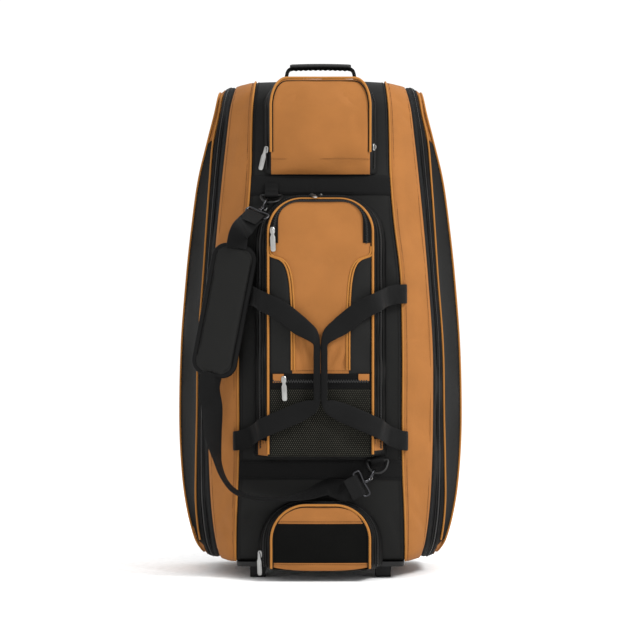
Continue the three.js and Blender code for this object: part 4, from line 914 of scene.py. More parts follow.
# Where the black gusset between the two outer cords starts and ends, in legs round the bag.
LENS = (1.75, 2.94)
BODY_CLOTH = [
    ("front_panel", -1, 1, 1, 5, "nylon_black_woven", 0.5, 0),
    ("front_band_left", -2, -1, 0, 5, "nylon_tan_woven", 1, 0.8),
    ("front_band_right", 1, 2, 0, 5, "nylon_tan_woven", 1, 0.8),
    ("zip_band_left", -3, -2, 0, 5, "tape_black_zip", 0.6, 0),
    ("zip_band_right", 2, 3, 0, 5, "tape_black_zip", 0.6, 0),
    ("side_gusset_left", -4, -3, *LENS, "nylon_black_woven", 0.8, 0),
    ("side_gusset_right", 3, 4, *LENS, "nylon_black_woven", 0.8, 0),
    ("rear_gusset_left", -4, -2, 5, 8, "nylon_black_woven", 1, 0.8),
    ("rear_gusset_right", 2, 4, 5, 8, "nylon_black_woven", 1, 0.8),
]


def make_body():
    for name, u0, u1, t0, t1, material, soft, puff in BODY_CLOTH:
        sides = (int(abs(u0) < 4), int(abs(u1) < 4), 1, 1)
        body_panel(name + "_cloth", u0, u1, t0, t1, material, [name], soft=soft, puff=puff, sides=sides)
    for side, word in ((-1, "left"), (1, "right")):
        side_cloth(side, word)
        for end, t0, t1 in (("low", 0, LENS[0]), ("high", LENS[1], 5)):
            name = f"side_gusset_{word}_{end}_cloth"
            seams = sorted((3 * side, 4 * side))
            body_panel(name, *seams, t0, t1, "nylon_tan_woven", (), soft=0, gap=0, sides=(0, 0, 1, 1))
    back_cloth()


def side_cloth(side, word):
    """The tan panel on the bag's side, from the front outline to the back one."""
    step = bag_settings().grid / MM
    fine = np.linspace(1, 4, 600)
    ts = spaced(fine, body_point(4.0 * side, fine), step)
    front, back = body_point(4.0 * side, ts), body_point(4.0 * side, 9 - ts)
    depth = np.linalg.norm(back - front, axis=1).max()
    share = np.linspace(0, 1, int(depth / step) + 1)[:, None, None]
    grid = front[None] * (1 - share) + back[None] * share
    crown = 3.0 * np.sin(math.pi * share) * np.sin(math.pi * np.linspace(0, 1, len(ts)))[None, :, None] ** 0.5
    grid = grid + np.array((side, 0, 0)) * crown
    normals = unit(np.cross(np.gradient(grid, axis=0), np.gradient(grid, axis=1)))
    normals = normals * np.sign(normals[..., :1] * side)
    piece = "side_panel_" + word
    cloth_shell(piece + "_cloth", grid, normals, "nylon_tan_woven", [piece], sides=(0, 0, 0, 0))


def back_cloth():
    """The back panel, cut away round the two wheel housings."""
    step = bag_settings().grid / MM
    low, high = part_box("wheel_housing_right")
    inner, outer, cut = low.x / MM - 1, high.x / MM + 1, high.z / MM + 1
    fine = np.linspace(5, 8, 900)
    at_cut = fine[np.argmin(np.abs(body_point(0.9, fine)[:, 2] - cut) + 500 * (fine < 6))]
    pile = Pile()

    def part(x0, x1, t0, t1):
        fine = np.linspace(t0, t1, 500)
        ts = spaced(fine, body_point(0.5, fine), step)
        share = np.linspace(0, 1, max(3, int((x1(150.0) - x0(150.0)) / step)))
        grid, normals = [], []
        for k in share:
            z = body_point(0.5, ts)[:, 2]
            x = x0(z) + (x1(z) - x0(z)) * k
            seam, far = half_at(1.0, z), half_at(2.0, z)
            u = np.where(np.abs(x) < seam, x / seam, np.sign(x) * (1 + (np.abs(x) - seam) / (far - seam)))
            grid.append(body_point(u, ts))
            normals.append(body_normal(u, ts))
        grid, normals = np.array(grid), np.array(normals)
        relief = slack(grid, 1.4 * bag_settings().slack / MM) - creases(grid, normals)
        calm = np.clip((grid[..., 2] - cut) / 60, 0.15, 1)
        outer_skin = grid + normals * (np.minimum(relief, 2.5) * calm)[..., None]
        sheet_into(pile, outer_skin, grid - normals * WALL)

    def edge(z):
        return half_at(2.0, z) - 0.15

    part(lambda z: -edge(z), edge, 5.0, at_cut)
    part(lambda z: z * 0 - inner, lambda z: z * 0 + inner, at_cut, 8.0)
    part(lambda z: z * 0 + outer, edge, at_cut, 8.0)
    part(lambda z: -edge(z), lambda z: z * 0 - outer, at_cut, 8.0)
    pile.make("back_panel_cloth", "nylon_black_woven", ["back_panel"])


BODY_PIPING = [("seam", 1, 1.4, 4.9), ("zip", 3, 2.0, 3.5), ("outline", 4, 0, 8)]


def make_piping():
    for side, word in ((-1, "left"), (1, "right")):
        for name, u, t0, t1 in BODY_PIPING:
            closed = t1 - t0 >= 8
            path, facing = seam_line(u * side, t0, t1, PIPING * 0.6, closed)
            piece = f"{name}_piping_{word}"
            cord(piece + "_cord", path, facing, "tape_tan_piping", [piece], closed=closed)


# Rows of stitching that follow the seams: u counts seams out from the middle, t legs round the bag.
SEAM_STITCHES = [
    (1.13, 1.4, 4.9, "thread_brown_sewn"),
    (1.88, 1.4, 4.9, "thread_brown_sewn"),
    (2.22, 1.4, 4.9, "thread_black_sewn"),
    (2.78, 1.4, 4.9, "thread_black_sewn"),
    (0.95, 1.6, 4.7, "thread_black_sewn"),
]


SIDE_ZIP = (1.2, 4.9)


def make_seams():
    piles = {"thread_brown_sewn": Pile(), "thread_black_sewn": Pile()}
    teeth, edges = Pile(), Pile()
    for side in (-1, 1):
        for u, t0, t1, material in SEAM_STITCHES:
            stitches_into(piles[material], *seam_line(u * side, t0, t1, 0.7))
        zip_into(teeth, *seam_line(2.5 * side, *SIDE_ZIP, 0.6), width=6.0, height=1.9)
        for u in (2.33, 2.67):
            path, facing = seam_line(u * side, *SIDE_ZIP, 0.5)
            tube_into(edges, sweep_rings(path, facing, circle(TAPE_RIDGE, 8)))
    edges.make("side_zip_edges", "tape_black_binding")
    for material, pile in piles.items():
        pile.make("seam_" + material, material)
    teeth.make("side_zip_coils", "nylon_coil_black")


# Pockets. An outline is the half width, bottom, top, corner radius and foot radius of an arch on the front.
# A pocket has one on the panel and one at its face, and a depth at each height.

Outline = namedtuple("Outline", "half bottom top radius foot")
Pocket = namedtuple("Pocket", "base face depth_at")
TOP_BOTTOM = UPPER_BAND + BAND_WIDTH / 2 + 1.5
TOP_TOP = FRONT_RUN_TOP + math.radians(TOP_WRAP) * TOP_RADIUS
TOP_CORNER = 27.9
TOP_SHALLOW = 8
TOP_DEEP = 40
FRONT_TOP = UPPER_BAND - BAND_WIDTH / 2 - 2.5
FRONT_BOTTOM = LOWER_BAND + BAND_WIDTH / 2 + 7
FRONT_DEPTH = 50
BOTTOM_TOP = 0.1565 * BODY_TOP
BOTTOM_DEPTH = 48
LOOSE_HEM = 14

# The yoke's half width up the front pocket's face, both as shares, and where the black inserts beside it end.
INSERT_TOP = 0.68
YOKE = [(0, 0.54), (0.35, 0.545), (0.48, 0.565), (0.56, 0.6), (0.615, 0.66), (0.65, 0.76)]
ZIP_TOP = MESH_TOP + MESH_ZIP

# A zip in a pocket's wall: the shares of the wall's depth where its chain, its tape's ridges and its
# stitching run, how far above the pocket's foot the chain and the tape start, and the chain's width and
# height.
WallZip = namedtuple("WallZip", "chain ridges stitches chain_foot tape_foot width height")
FRONT_ZIP = WallZip(0.55, (0.16, 0.36, 0.74, 0.9), (0.26, 0.82), 20, 12, 6.4, 2.0)
BOTTOM_ZIP = WallZip(0.5, (0.14, 0.34, 0.68, 0.88), (0.24, 0.78), 8, 6, 6.0, 1.8)


def top_depth(s):
    """The top pocket's depth, which grows upwards."""
    slope = np.clip((s - TOP_BOTTOM) / (TOP_TOP - TOP_CORNER - TOP_BOTTOM), 0, 1)
    return TOP_SHALLOW + (TOP_DEEP - TOP_SHALLOW) * slope**0.7


def front_depth(s):
    return FRONT_DEPTH + 0 * s


def bottom_depth(s):
    return BOTTOM_DEPTH + 0 * s


TOP = Pocket(
    Outline(101.7, TOP_BOTTOM, TOP_TOP, TOP_CORNER, 4.95),
    Outline(87, TOP_BOTTOM, TOP_TOP + 1, TOP_CORNER, 4.95),
    top_depth,
)
FRONT = Pocket(
    Outline(118, FRONT_BOTTOM, FRONT_TOP, 85, 6),
    Outline(91, FRONT_BOTTOM + 2.9, FRONT_TOP - 7, 59, 6),
    front_depth,
)
BOTTOM = Pocket(
    Outline(110, 24, BOTTOM_TOP, 75.9, 6),
    Outline(86, 20.2, BOTTOM_TOP - 3.8, 60.5, 6),
    bottom_depth,
)


def arch(outline, step=3.0, s_from=None, grow=0.0):
    """Points x and s of an arched outline, from its left foot over the top to its right foot."""
    half, bottom, top, radius, foot = outline
    half, top, radius = half + grow, top + grow, radius + grow
    start = bottom + foot if s_from is None else s_from
    turns = np.radians(np.linspace(0, 90, max(4, int(radius * 1.57 / step))))
    rise = np.linspace(start, top - radius, max(2, int((top - radius - start) / step)))[:-1]
    right = [(half, s) for s in rise]
    right += [(half - radius + radius * math.cos(a), top - radius + radius * math.sin(a)) for a in turns]
    across = np.linspace(half - radius, 0, max(2, int((half - radius) / step)))[1:]
    right += [(x, top) for x in across]
    right = np.array(right)
    return np.concatenate([right * (-1, 1), right[-2::-1]])


def arch_loop(outline, step):
    """The closed outline, from the middle of its foot round to the same place."""
    half, bottom, foot = outline.half, outline.bottom, outline.foot
    path = arch(outline, step)
    turns = np.radians(np.linspace(90, 0, 4))[1:]
    corner = [(-half + foot - foot * math.cos(a), bottom + foot - foot * math.sin(a)) for a in turns]
    first = np.linspace(0, -(half - foot), max(3, int(half / step)))
    foot_left = np.concatenate([np.stack([first, first * 0 + bottom], axis=1), np.array(corner)[:-1]])
    foot_left = foot_left[np.argsort(-foot_left[:, 0], kind="stable")]
    return np.concatenate([foot_left, path, (foot_left * (-1, 1))[::-1]])


def arch_half(outline, s):
    """Half the outline's width at heights s."""
    rise = np.clip((s - outline.top + outline.radius) / outline.radius, 0, 1)
    return outline.half - outline.radius * (1 - np.sqrt(1 - rise**2))


def crown_of(face, x, s):
    """How far a pocket's filled face swells out."""
    up = np.clip((s - face.bottom) / (face.top - face.bottom), 0, 1)
    return POCKET_CROWN * (1 - np.minimum(1, (x / face.half) ** 2)) * np.sin(math.pi * up)


def gusset(word, pocket, bulge=1.6):
    """The cloth wall round a pocket."""
    base, face, depth_at = pocket
    count = int(2.4 * (base.half * 2 + base.top - base.bottom) / (bag_settings().grid / MM))
    lower, upper = resample(arch_loop(base, 2.0), count), resample(arch_loop(face, 2.0), count)
    shares = np.linspace(0, 1, 9)
    rows = []
    for share in shares:
        x, s = (lower + (upper - lower) * share).T
        rows.append(on_front(x, s, (depth_at(upper[:, 1]) - 1.5) * share + 0.4))
    grid = np.array(rows).transpose(1, 0, 2)
    normals = unit(np.cross(np.gradient(grid, axis=0), np.gradient(grid, axis=1)))
    away = ((grid - on_front(0, (base.bottom + base.top) / 2, 0)) * normals).sum(axis=2, keepdims=True)
    normals = normals * np.sign(away + 1e-9)
    relief = slack(grid * 1.7, 0.9) + bulge * np.sin(math.pi * shares)[None]
    relief = relief - 1.2 * edge_roll(grid, 1.0, 5.0, (0, 0, 1, 1))
    cloth = sheet_into(Pile(), grid + normals * relief[..., None], grid - normals * POCKET_WALL)
    cloth.make(word + "_gusset_cloth", "nylon_black_woven", [word + "_gusset"])


def face_cloth(piece, pocket, left, right, s0, s1, material, ending="cloth", sides=(1, 1, 1, 1), soft=1.0):
    """A panel of a pocket's face between two heights and two side edges."""
    face = pocket.face
    step = bag_settings().grid / MM
    s_line = np.linspace(s0, s1, max(3, int((s1 - s0) / step) + 1))
    s_line = np.concatenate([s_line[:-1], s1 - (s1 - s_line[-2]) * np.array((0.5, 0.2, 0.0))])
    middle = (s0 + s1) / 2
    wide = max(abs(right(middle) - left(middle)), 20)
    share = np.linspace(0, 1, max(5, int(wide / step)))
    x = left(s_line)[None] + (right(s_line) - left(s_line))[None] * share[:, None]
    s = np.broadcast_to(s_line, x.shape)
    d = pocket.depth_at(s) + crown_of(face, x, s)
    if pocket is BOTTOM:
        s = s + np.clip((face.bottom + LOOSE_HEM - s) / LOOSE_HEM, 0, 1) * 7.0 * (np.abs(x) / face.half) ** 3
    grid = on_front(x, s, d)
    calm = np.clip(1 - edge_roll(grid, 1.0, 14.0, sides), 0, 1)
    relief = soft * (slack(grid * 1.4, 1.3) - creases(grid, FORWARD, True)) * calm
    relief = relief - edge_roll(grid, 1.0, 4.0, sides)
    cloth = sheet_into(Pile(), on_front(x, s, d + relief), on_front(x, s, d - POCKET_WALL))
    cloth.make(f"{piece}_{ending}", material, [piece])


def rim_cord(word, pocket, s_from, slim_top=1.0):
    """A pocket's piping, and a thin dark cord in the groove where it meets the face, partly the seam's dark
    edge and partly painted shade.
    """
    reach = PIPING + 0.3
    x, s = arch(pocket.face, 2.5, s_from, 0.1 * reach).T
    path = respace(on_front(x, s, pocket.depth_at(s) + 0.6 * reach), 4.0)
    height = path[:, 2] - path[:, 2].min()
    slim = np.where(height > 0.985 * height.max(), slim_top, 1.0)
    slim = np.convolve(np.pad(slim, 6, mode="edge"), np.ones(13) / 13, mode="valid")
    rings = sweep_rings(path, FORWARD, RIM_CORD * slim[:, None, None] * circle(1.0, 8)[None])
    tube_into(Pile(), rings).make(word + "_piping_cord", "tape_tan_piping", [word + "_piping"])
    # A thin dark cord just inside the piping: partly the seam's dark edge, partly painted shade in the
    # groove.
    x, s = arch(pocket.face, 2.5, s_from, -3.0).T
    groove = respace(on_front(x, s, pocket.depth_at(s) + 0.9), 4.0)
    cord(word + "_piping_cord_groove", groove, FORWARD, "tape_black_binding", (), 0.9)


def face_line(pocket, x, s, lift):
    """Points laid on a pocket's face."""
    return on_front(x, s, pocket.depth_at(s) + crown_of(pocket.face, x, s) + lift)


def face_row(pocket, half, s, lift, count):
    """A level line across a pocket's face."""
    return face_line(pocket, np.linspace(-half, half, count), np.full(count, s), lift)


def gusset_line(pocket, share, foot, out):
    """A line round a pocket's wall at a share of its depth, starting foot above its face's bottom."""
    base, face, depth_at = pocket
    lower, upper = resample(arch_loop(base, 2.0), 240), resample(arch_loop(face, 2.0), 240)
    keep = upper[:, 1] >= face.bottom + foot
    lower, upper = lower[keep], upper[keep]
    x, s = (lower + (upper - lower) * share).T
    depth = depth_at(upper[:, 1])
    points = on_front(x, s, depth * share)
    rise = on_front(*upper.T, depth) - on_front(*lower.T, 0)
    outward = unit(np.cross(directions(points), rise))
    outward *= np.sign(((points - points.mean(axis=0)) * outward).sum(axis=1, keepdims=True))
    return points + outward * out, outward


def wall_zip(word, pocket, layout, teeth, thread):
    """The zip in a pocket's wall, with its tape's ridges and stitching."""
    path, facing = gusset_line(pocket, layout.chain, layout.chain_foot, 2.0)
    zip_into(teeth, path, facing, layout.width, layout.height)
    ridges = Pile()
    for share in layout.ridges:
        path, facing = gusset_line(pocket, share, layout.tape_foot, 1.6)
        tube_into(ridges, sweep_rings(path[::3], facing[::3], circle(TAPE_RIDGE, 6)))
    ridges.make(word + "_zip_edges", "tape_black_binding")
    for share in layout.stitches:
        stitches_into(thread, *gusset_line(pocket, share, layout.tape_foot, 1.9))


def edges_of(pocket):
    """The left and right edge of a pocket's face, each as a function of height."""
    return (lambda s: -arch_half(pocket.face, s)), (lambda s: arch_half(pocket.face, s))


def make_top_pocket():
    height = TOP_TOP - TOP_BOTTOM
    gusset("top_pocket", TOP, 1.0)
    edges = edges_of(TOP)
    face_cloth("top_pocket_face", TOP, *edges, TOP_BOTTOM, TOP_TOP, "nylon_tan_woven", sides=(1, 1, 1, 0))
    rim_cord("top_pocket", TOP, TOP_BOTTOM + 0.26 * height)
    teeth, thread = Pile(), Pile()
    path, facing = gusset_line(TOP, 0.55, 12, 1.6)
    zip_into(teeth, path, facing, width=4.6, height=1.4)
    stitches_into(thread, face_row(TOP, 86, TOP_BOTTOM + 26, 1.5, 40), FORWARD)
    teeth.make("top_pocket_zip_coil", "nylon_coil_black")
    thread.make("top_pocket_stitches", "thread_brown_sewn")


def yoke_half(s):
    """The yoke's half width at heights s."""
    share = (s - ZIP_TOP) / (FRONT.face.top - ZIP_TOP)
    up, half = np.array(YOKE + [(INSERT_TOP, 1), (1, 1)]).T
    return np.minimum(hermite(up, half, share), 1) * arch_half(FRONT.face, s)


def make_yoke(insert_top):
    """The tan yoke, the black inserts beside it and the two rows of piping between them."""
    low, top = ZIP_TOP + 0.2, FRONT.face.top
    face_cloth("front_pocket_face", FRONT, lambda s: -yoke_half(s), yoke_half, low, top, "nylon_tan_woven")
    for side, word in ((-1, "left"), (1, "right")):
        sides = (lambda s: side * yoke_half(s)), (lambda s: side * arch_half(FRONT.face, s))
        face_cloth(f"front_pocket_insert_{word}", FRONT, *sides, low, insert_top, "nylon_black_woven")
        s = np.linspace(ZIP_TOP + 6, insert_top + 14, 40)
        for k, inset in enumerate((0.0, 4.4)):
            points = respace(face_line(FRONT, side * (yoke_half(s) + 1) - side * inset, s, 1.0), 4.0)
            cord(f"yoke_piping_{word}_{k}", points, FORWARD, "tape_tan_piping", (), 1.7)


def make_front_pocket():
    edges = edges_of(FRONT)
    insert_top = ZIP_TOP + INSERT_TOP * (FRONT.face.top - ZIP_TOP)
    gusset("front_pocket", FRONT)
    make_yoke(insert_top)
    face_cloth("mesh_pocket_zip", FRONT, *edges, MESH_TOP + 0.2, ZIP_TOP, "tape_black_zip", "tape", soft=0.5)
    face_cloth("mesh_pocket", FRONT, *edges, FRONT.face.bottom, MESH_TOP, "mesh_black_knitted")
    rim_cord("front_pocket", FRONT, FRONT.face.bottom + 4, 0.55)
    lid_zip(insert_top + 20)
    teeth, thread, brown, tabs = Pile(), Pile(), Pile(), Pile()
    zip_into(teeth, face_row(FRONT, 82, MESH_TOP + 0.5 * MESH_ZIP, 0.4, 60), FORWARD, width=6.4, height=2.2)
    wall_zip("front_pocket", FRONT, FRONT_ZIP, teeth, thread)
    for s in (MESH_TOP + 3, ZIP_TOP - 3):
        stitches_into(thread, face_row(FRONT, 90, s, 0.5, 60), FORWARD)
    s = ZIP_TOP + 5
    stitches_into(brown, face_row(FRONT, yoke_half(s) - 8, s, 0.8, 40), FORWARD)
    for x0, x1, s0, s1 in ((-83, -64, 350, 365), (66, 85, 353, 365)):
        face_patch(tabs, FRONT, x0, x1, s0, s1)
    for side, s0, s1 in ((-1, 4, 30), (1, 13, 33)):
        wall_patch(tabs, FRONT, side, FRONT_BOTTOM + s0, FRONT_BOTTOM + s1)
    tabs.make("front_pocket_tabs", "nylon_tan_woven")
    teeth.make("front_pocket_zip_coils", "nylon_coil_black")
    thread.make("front_pocket_stitches", "thread_black_sewn")
    brown.make("yoke_stitches", "thread_brown_sewn")


def face_patch(pile, pocket, x0, x1, s0, s1):
    """A tab of cloth sewn on a pocket's face."""
    x, s = np.meshgrid(np.linspace(x0, x1, 6), np.linspace(s0, s1, 5), indexing="ij")
    rim = np.full(x.shape, 0.6)
    rim[1:-1, 1:-1] = 0
    sheet_into(pile, face_line(pocket, x, s, 2.4 - rim), face_line(pocket, x, s, -0.3))


def wall_patch(pile, pocket, side, s0, s1):
    """A tab of cloth sewn on a pocket's side wall, over most of its depth."""
    grids = []
    for lift in (2.6, 0.2):
        rows = []
        for share in np.linspace(0.4, 0.97, 5):
            rows.append([on_wall(pocket, s, share, side, lift)[0] for s in np.linspace(s0, s1, 5)])
        grids.append(np.array(rows))
    sheet_into(pile, *grids)


def lid_zip(s_low):
    """The zip of the pocket's lid: a strip of tape inside the rim, from shoulder to shoulder."""
    face = FRONT.face
    opening = Outline(face.half - 17, face.bottom, face.top - 6, 34, face.foot)
    outer, inner = resample(arch(face, 3.0, s_low, -1.5), 140), resample(arch(opening, 3.0, s_low), 140)
    shares = np.linspace(0, 1, 6)[:, None, None]
    x, s = np.moveaxis(outer[None] * (1 - shares) + inner[None] * shares, 2, 0)
    strip = sheet_into(Pile(), face_line(FRONT, x, s, 1.6), face_line(FRONT, x, s, -0.4))
    strip.make("lid_zip_tape", "tape_black_zip")
    coil = Pile()
    x, s = (outer * 0.45 + inner * 0.55).T
    zip_into(coil, face_line(FRONT, x, s, 1.5), FORWARD, width=5.4, height=1.6)
    coil.make("lid_zip_coil", "nylon_coil_black")


def make_bottom_pocket():
    face = BOTTOM.face
    hem, seam = (face.bottom + (face.top - face.bottom) * share for share in (0.12, 0.72))
    gusset("bottom_pocket", BOTTOM)
    for name, s0, s1, material in (
        ("face", seam + 0.2, face.top, "nylon_tan_woven"),
        ("mesh", hem + 0.2, seam, "mesh_black_fine"),
        ("hem", face.bottom, hem, "nylon_tan_woven"),
    ):
        face_cloth("bottom_pocket_" + name, BOTTOM, *edges_of(BOTTOM), s0, s1, material)
    rim_cord("bottom_pocket", BOTTOM, face.bottom + 4)
    teeth, thread, brown = Pile(), Pile(), Pile()
    wall_zip("bottom_pocket", BOTTOM, BOTTOM_ZIP, teeth, thread)
    for s in (hem - 2.5, seam + 4):
        stitches_into(brown, face_row(BOTTOM, arch_half(face, s) - 2, s, 0.6, 50), FORWARD)
    teeth.make("bottom_pocket_zip_coil", "nylon_coil_black")
    thread.make("bottom_pocket_stitches", "thread_black_sewn")
    brown.make("bottom_pocket_hem_stitches", "thread_brown_sewn")


# Webbing

# The left and right carry handles' route from the upper seam to the lower one. Columns: x as a share of the
# seam's half width, z of the body's height, out of the front pocket's depth, turn of the strap in degrees,
# and grip, which is 1 where the strap is doubled into a grip.
HANDLE_ROUTE = np.array([
    (1.04, 0.553, 0, 90, 0),
    (1.05, 0.553, 0.18, 80, 0),
    (1.02, 0.553, 0.28, 45, 0),
    (0.94, 0.552, 0.3, 20, 0),
    (0.84, 0.549, 0.39, 45, 0),
    (0.77, 0.544, 0.78, 60, 0),
    (0.7, 0.537, 1.16, 30, 0),
    (0.46, 0.516, 1.27, 5, 0),
    (0.25, 0.488, 1.3, 0, 0),
    (0.11, 0.47, 1.34, 0, 0.35),
    (0.047, 0.452, 1.34, 0, 1),
    (0.043, 0.43, 1.34, 0, 1),
    (0.043, 0.385, 1.34, 0, 1),
    (0.043, 0.352, 1.34, 0, 1),
    (0.047, 0.334, 1.34, 0, 1),
    (0.11, 0.324, 1.34, 0, 0.35),
    (0.26, 0.312, 1.3, 0, 0),
    (0.48, 0.296, 1.27, 5, 0),
    (0.7, 0.279, 1.16, 30, 0),
    (0.77, 0.27, 0.78, 60, 0),
    (0.84, 0.261, 0.39, 45, 0),
    (0.94, 0.254, 0.3, 20, 0),
    (1.02, 0.251, 0.28, 45, 0),
    (1.05, 0.25, 0.18, 80, 0),
    (1.04, 0.25, 0, 90, 0),
])


BAND_STITCH = 13.0
HANDLE_WIDTH = 34
GRIP_HALF = 6.0
GRIP_LIFT = 2.9


def make_bands():
    thread = Pile()
    for name, at in (("upper_band", UPPER_BAND), ("lower_band", LOWER_BAND)):
        z = np.linspace(at - BAND_WIDTH / 2, at + BAND_WIDTH / 2, 12)
        share = np.linspace(-1, 1, 70)
        x = share[:, None] * (half_at(1.0, z) - PIPING - 0.3)[None]
        s = np.broadcast_to(z, x.shape)
        wave = 0.5 * slack(on_front(x, s, 0), 1.0)
        edge = 0.9 * (np.abs(z - at) > 0.46 * BAND_WIDTH)
        grid = on_front(x, s, 3.0 + wave - edge)
        sheet_into(Pile(), grid, on_front(x, s, 0.4)).make(name + "_webbing", "webbing_black_ribbed", [name])
        for side in (-1, 1):
            line = on_front(np.linspace(-1, 1, 80) * (half_at(1.0, at) - 6), at + side * BAND_STITCH, 3.3)
            stitches_into(thread, line, FORWARD)
    thread.make("band_stitches", "thread_black_sewn")


def make_handles():
    """The two carry handles, each doubled into a grip in the middle."""
    x, z, out, turn, grip = HANDLE_ROUTE.T
    height = BODY_BASE + z * BODY_HEIGHT
    flat = strap_section(HANDLE_WIDTH, WEBBING * 1.15)
    angles = np.arctan2(flat[:, 1] - flat[:, 1].mean(), flat[:, 0] / 12)
    thick = np.stack([GRIP_HALF * np.cos(angles), GRIP_LIFT + GRIP_LIFT * np.sin(angles)], axis=1)
    for side, word in ((-1, "left"), (1, "right")):
        px = side * x * half_at(1.0, height)
        knots = np.stack([px, front_y(px, height) - 0.45 - out * FRONT_DEPTH, height], axis=1)
        points, places = curve_through(knots, 3.5)
        at = np.arange(len(knots))
        angle = np.radians(np.interp(places, at, turn))
        facing = np.stack([side * np.sin(angle), -np.cos(angle), 0 * angle], axis=1)
        doubled = np.interp(places, at, grip)[:, None, None]
        rings = sweep_rings(points, facing, flat[None] * (1 - doubled) + thick[None] * doubled)
        piece = "carry_handle_" + word
        tube_into(Pile(), rings).make(piece + "_webbing", "webbing_black_ribbed", [piece])


HAUL_SPAN = 132
HAUL_RISE = 30
HAUL_STRAP = 2 * WEBBING
HAUL_WIDTH = 20
HAUL_Y = -10
GRIP_LENGTH = 112
GRIP_WIDTH = 28
GRIP_THICK = 12
GRIP_FINGER = 9


def top_at(x):
    """The height of the bag's top, x out from its middle."""
    return BODY_TOP - rail("top", abs(x) / half_at(1.0, BODY_TOP)) * BODY_DEPTH


def make_haul_handle():
    foot = HAUL_SPAN / 2 + 6
    foot_z, grip_z = top_at(foot), top_at(0) + HAUL_RISE
    rows = [
        (-foot - 1, foot_z + 2.2),
        (-HAUL_SPAN / 2, foot_z + 0.15 * HAUL_RISE),
        (-GRIP_LENGTH / 2 - 3, grip_z - 1.8),
        (-GRIP_LENGTH / 2 + 8.4, grip_z + 3),
        (0, grip_z + 6),
    ]
    rows += [(-x, z) for x, z in rows[-2::-1]]
    knots = np.array([(x, HAUL_Y, z) for x, z in rows], float)
    points, _ = curve_through(knots, 3.0)
    facing = unit(np.stack([points[:, 0] / HAUL_SPAN, 0 * points[:, 0], 0.6 + 0 * points[:, 0]], axis=1))
    rings = sweep_rings(points, facing, strap_section(HAUL_WIDTH, 1.5 * HAUL_STRAP, -0.75 * HAUL_STRAP))
    tube_into(Pile(), rings).make("haul_strap_webbing", "webbing_black_ribbed", ["haul_strap"])
    x = np.linspace(-GRIP_LENGTH / 2, GRIP_LENGTH / 2, 130)
    arched = grip_z + GRIP_THICK * (0.42 - 0.42 * (x / GRIP_LENGTH) ** 2)
    spine = np.stack([x, 0 * x + HAUL_Y, arched], axis=1)
    end = np.clip((GRIP_LENGTH / 2 - np.abs(x)) / 5, 0, 1)
    size = 0.72 + 0.28 * np.sqrt(1 - (1 - end) ** 2)
    ring = circle(1, 28)
    sections = []
    for k in range(len(x)):
        notch = 1 + 0.1 * math.cos(2 * math.pi * x[k] / GRIP_FINGER) * (ring[:, 1] < 0.2)
        section = np.stack([ring[:, 0] * GRIP_WIDTH / 2, ring[:, 1] * GRIP_THICK / 2 * notch], axis=1)
        sections.append(section * size[k])
    grip = tube_into(Pile(), sweep_rings(spine, (0.0, 0.0, 1.0), np.array(sections)))
    grip.make("haul_grip_rubber", "rubber_black_moulded", ["haul_grip"])


# The shoulder strap

PAD_LENGTH = 235
PAD_WIDTH = 80
PAD_THICK = 11
PAD_TILT = 11
PAD_X = -0.659 * HALF_WIDTH
PAD_Z = BODY_BASE + 0.519 * BODY_HEIGHT
PAD_OUT = 31
PAD_LEAN = 0.3
PAD_ROLL = 16
PAD_BINDING = (4.9, 3.6)
PAD_VOXEL = 3


def pad_place(along, across, out):
    """A place on the tilted pad."""
    along, across, out = np.broadcast_arrays(*(np.asarray(v, float) for v in (along, across, out)))
    tilt = math.radians(PAD_TILT)
    x = PAD_X + along * math.sin(tilt) + across * math.cos(tilt)
    z = PAD_Z + along * math.cos(tilt) - across * math.sin(tilt)
    return np.stack([x, BODY_FRONT - PAD_OUT - out - across * PAD_LEAN, z], axis=-1)


def pad_half(along, grow=0.0):
    """Half the pad's width at places along it."""
    corner = 0.275 * PAD_WIDTH
    half_length = PAD_LENGTH / 2 + grow
    over = np.clip(np.abs(along) - (half_length - corner), 0, corner)
    return PAD_WIDTH / 2 + grow - corner + np.sqrt(corner**2 - over**2)


def pad_loop(inset):
    """A line round the pad, inset from its edge: places along it and across it."""
    along = -np.cos(np.linspace(0, math.pi, 90)) * (PAD_LENGTH / 2 - inset)
    half = pad_half(along, -inset)
    return np.concatenate([along, along[::-1]]), np.concatenate([half, -half[::-1]])


def pad_body():
    """The pad before it is filled: a flat cushion with a rounded rim."""
    along = -np.cos(np.linspace(0, math.pi, 60)) * (PAD_LENGTH / 2 - 1.5)
    half = pad_half(along, -1.5)
    ring = circle(1, 24)
    thick = ring[:, 1] * (PAD_THICK / 2 - 1.6)
    sections = np.array([np.stack([ring[:, 0] * h, thick], axis=1) for h in half])
    rings = pad_place(along[:, None], sections[..., 0], sections[..., 1])
    return tube_into(Pile(), rings)


def make_pad():
    cloth = pad_body().make("shoulder_pad_cloth", "nylon_black_pad", ["shoulder_pad"])
    fill_with_air(cloth)
    x, y = pad_loop(4)
    path = respace(pad_place(x, y, 0.0), 3.0, closed=True)
    facing = unit(np.array((-PAD_LEAN, -1.0, 0.0)))
    section = circle(1, 16) * PAD_BINDING
    rings = sweep_rings(path, facing, section, closed=True)
    tube_into(Pile(), rings, closed=True).make("shoulder_pad_binding", "tape_black_binding")
    thread = Pile()
    x, y = pad_loop(9.5)
    stitches_into(thread, pad_place(x, y, 4.4), facing)
    thread.make("shoulder_pad_stitches", "thread_black_sewn")


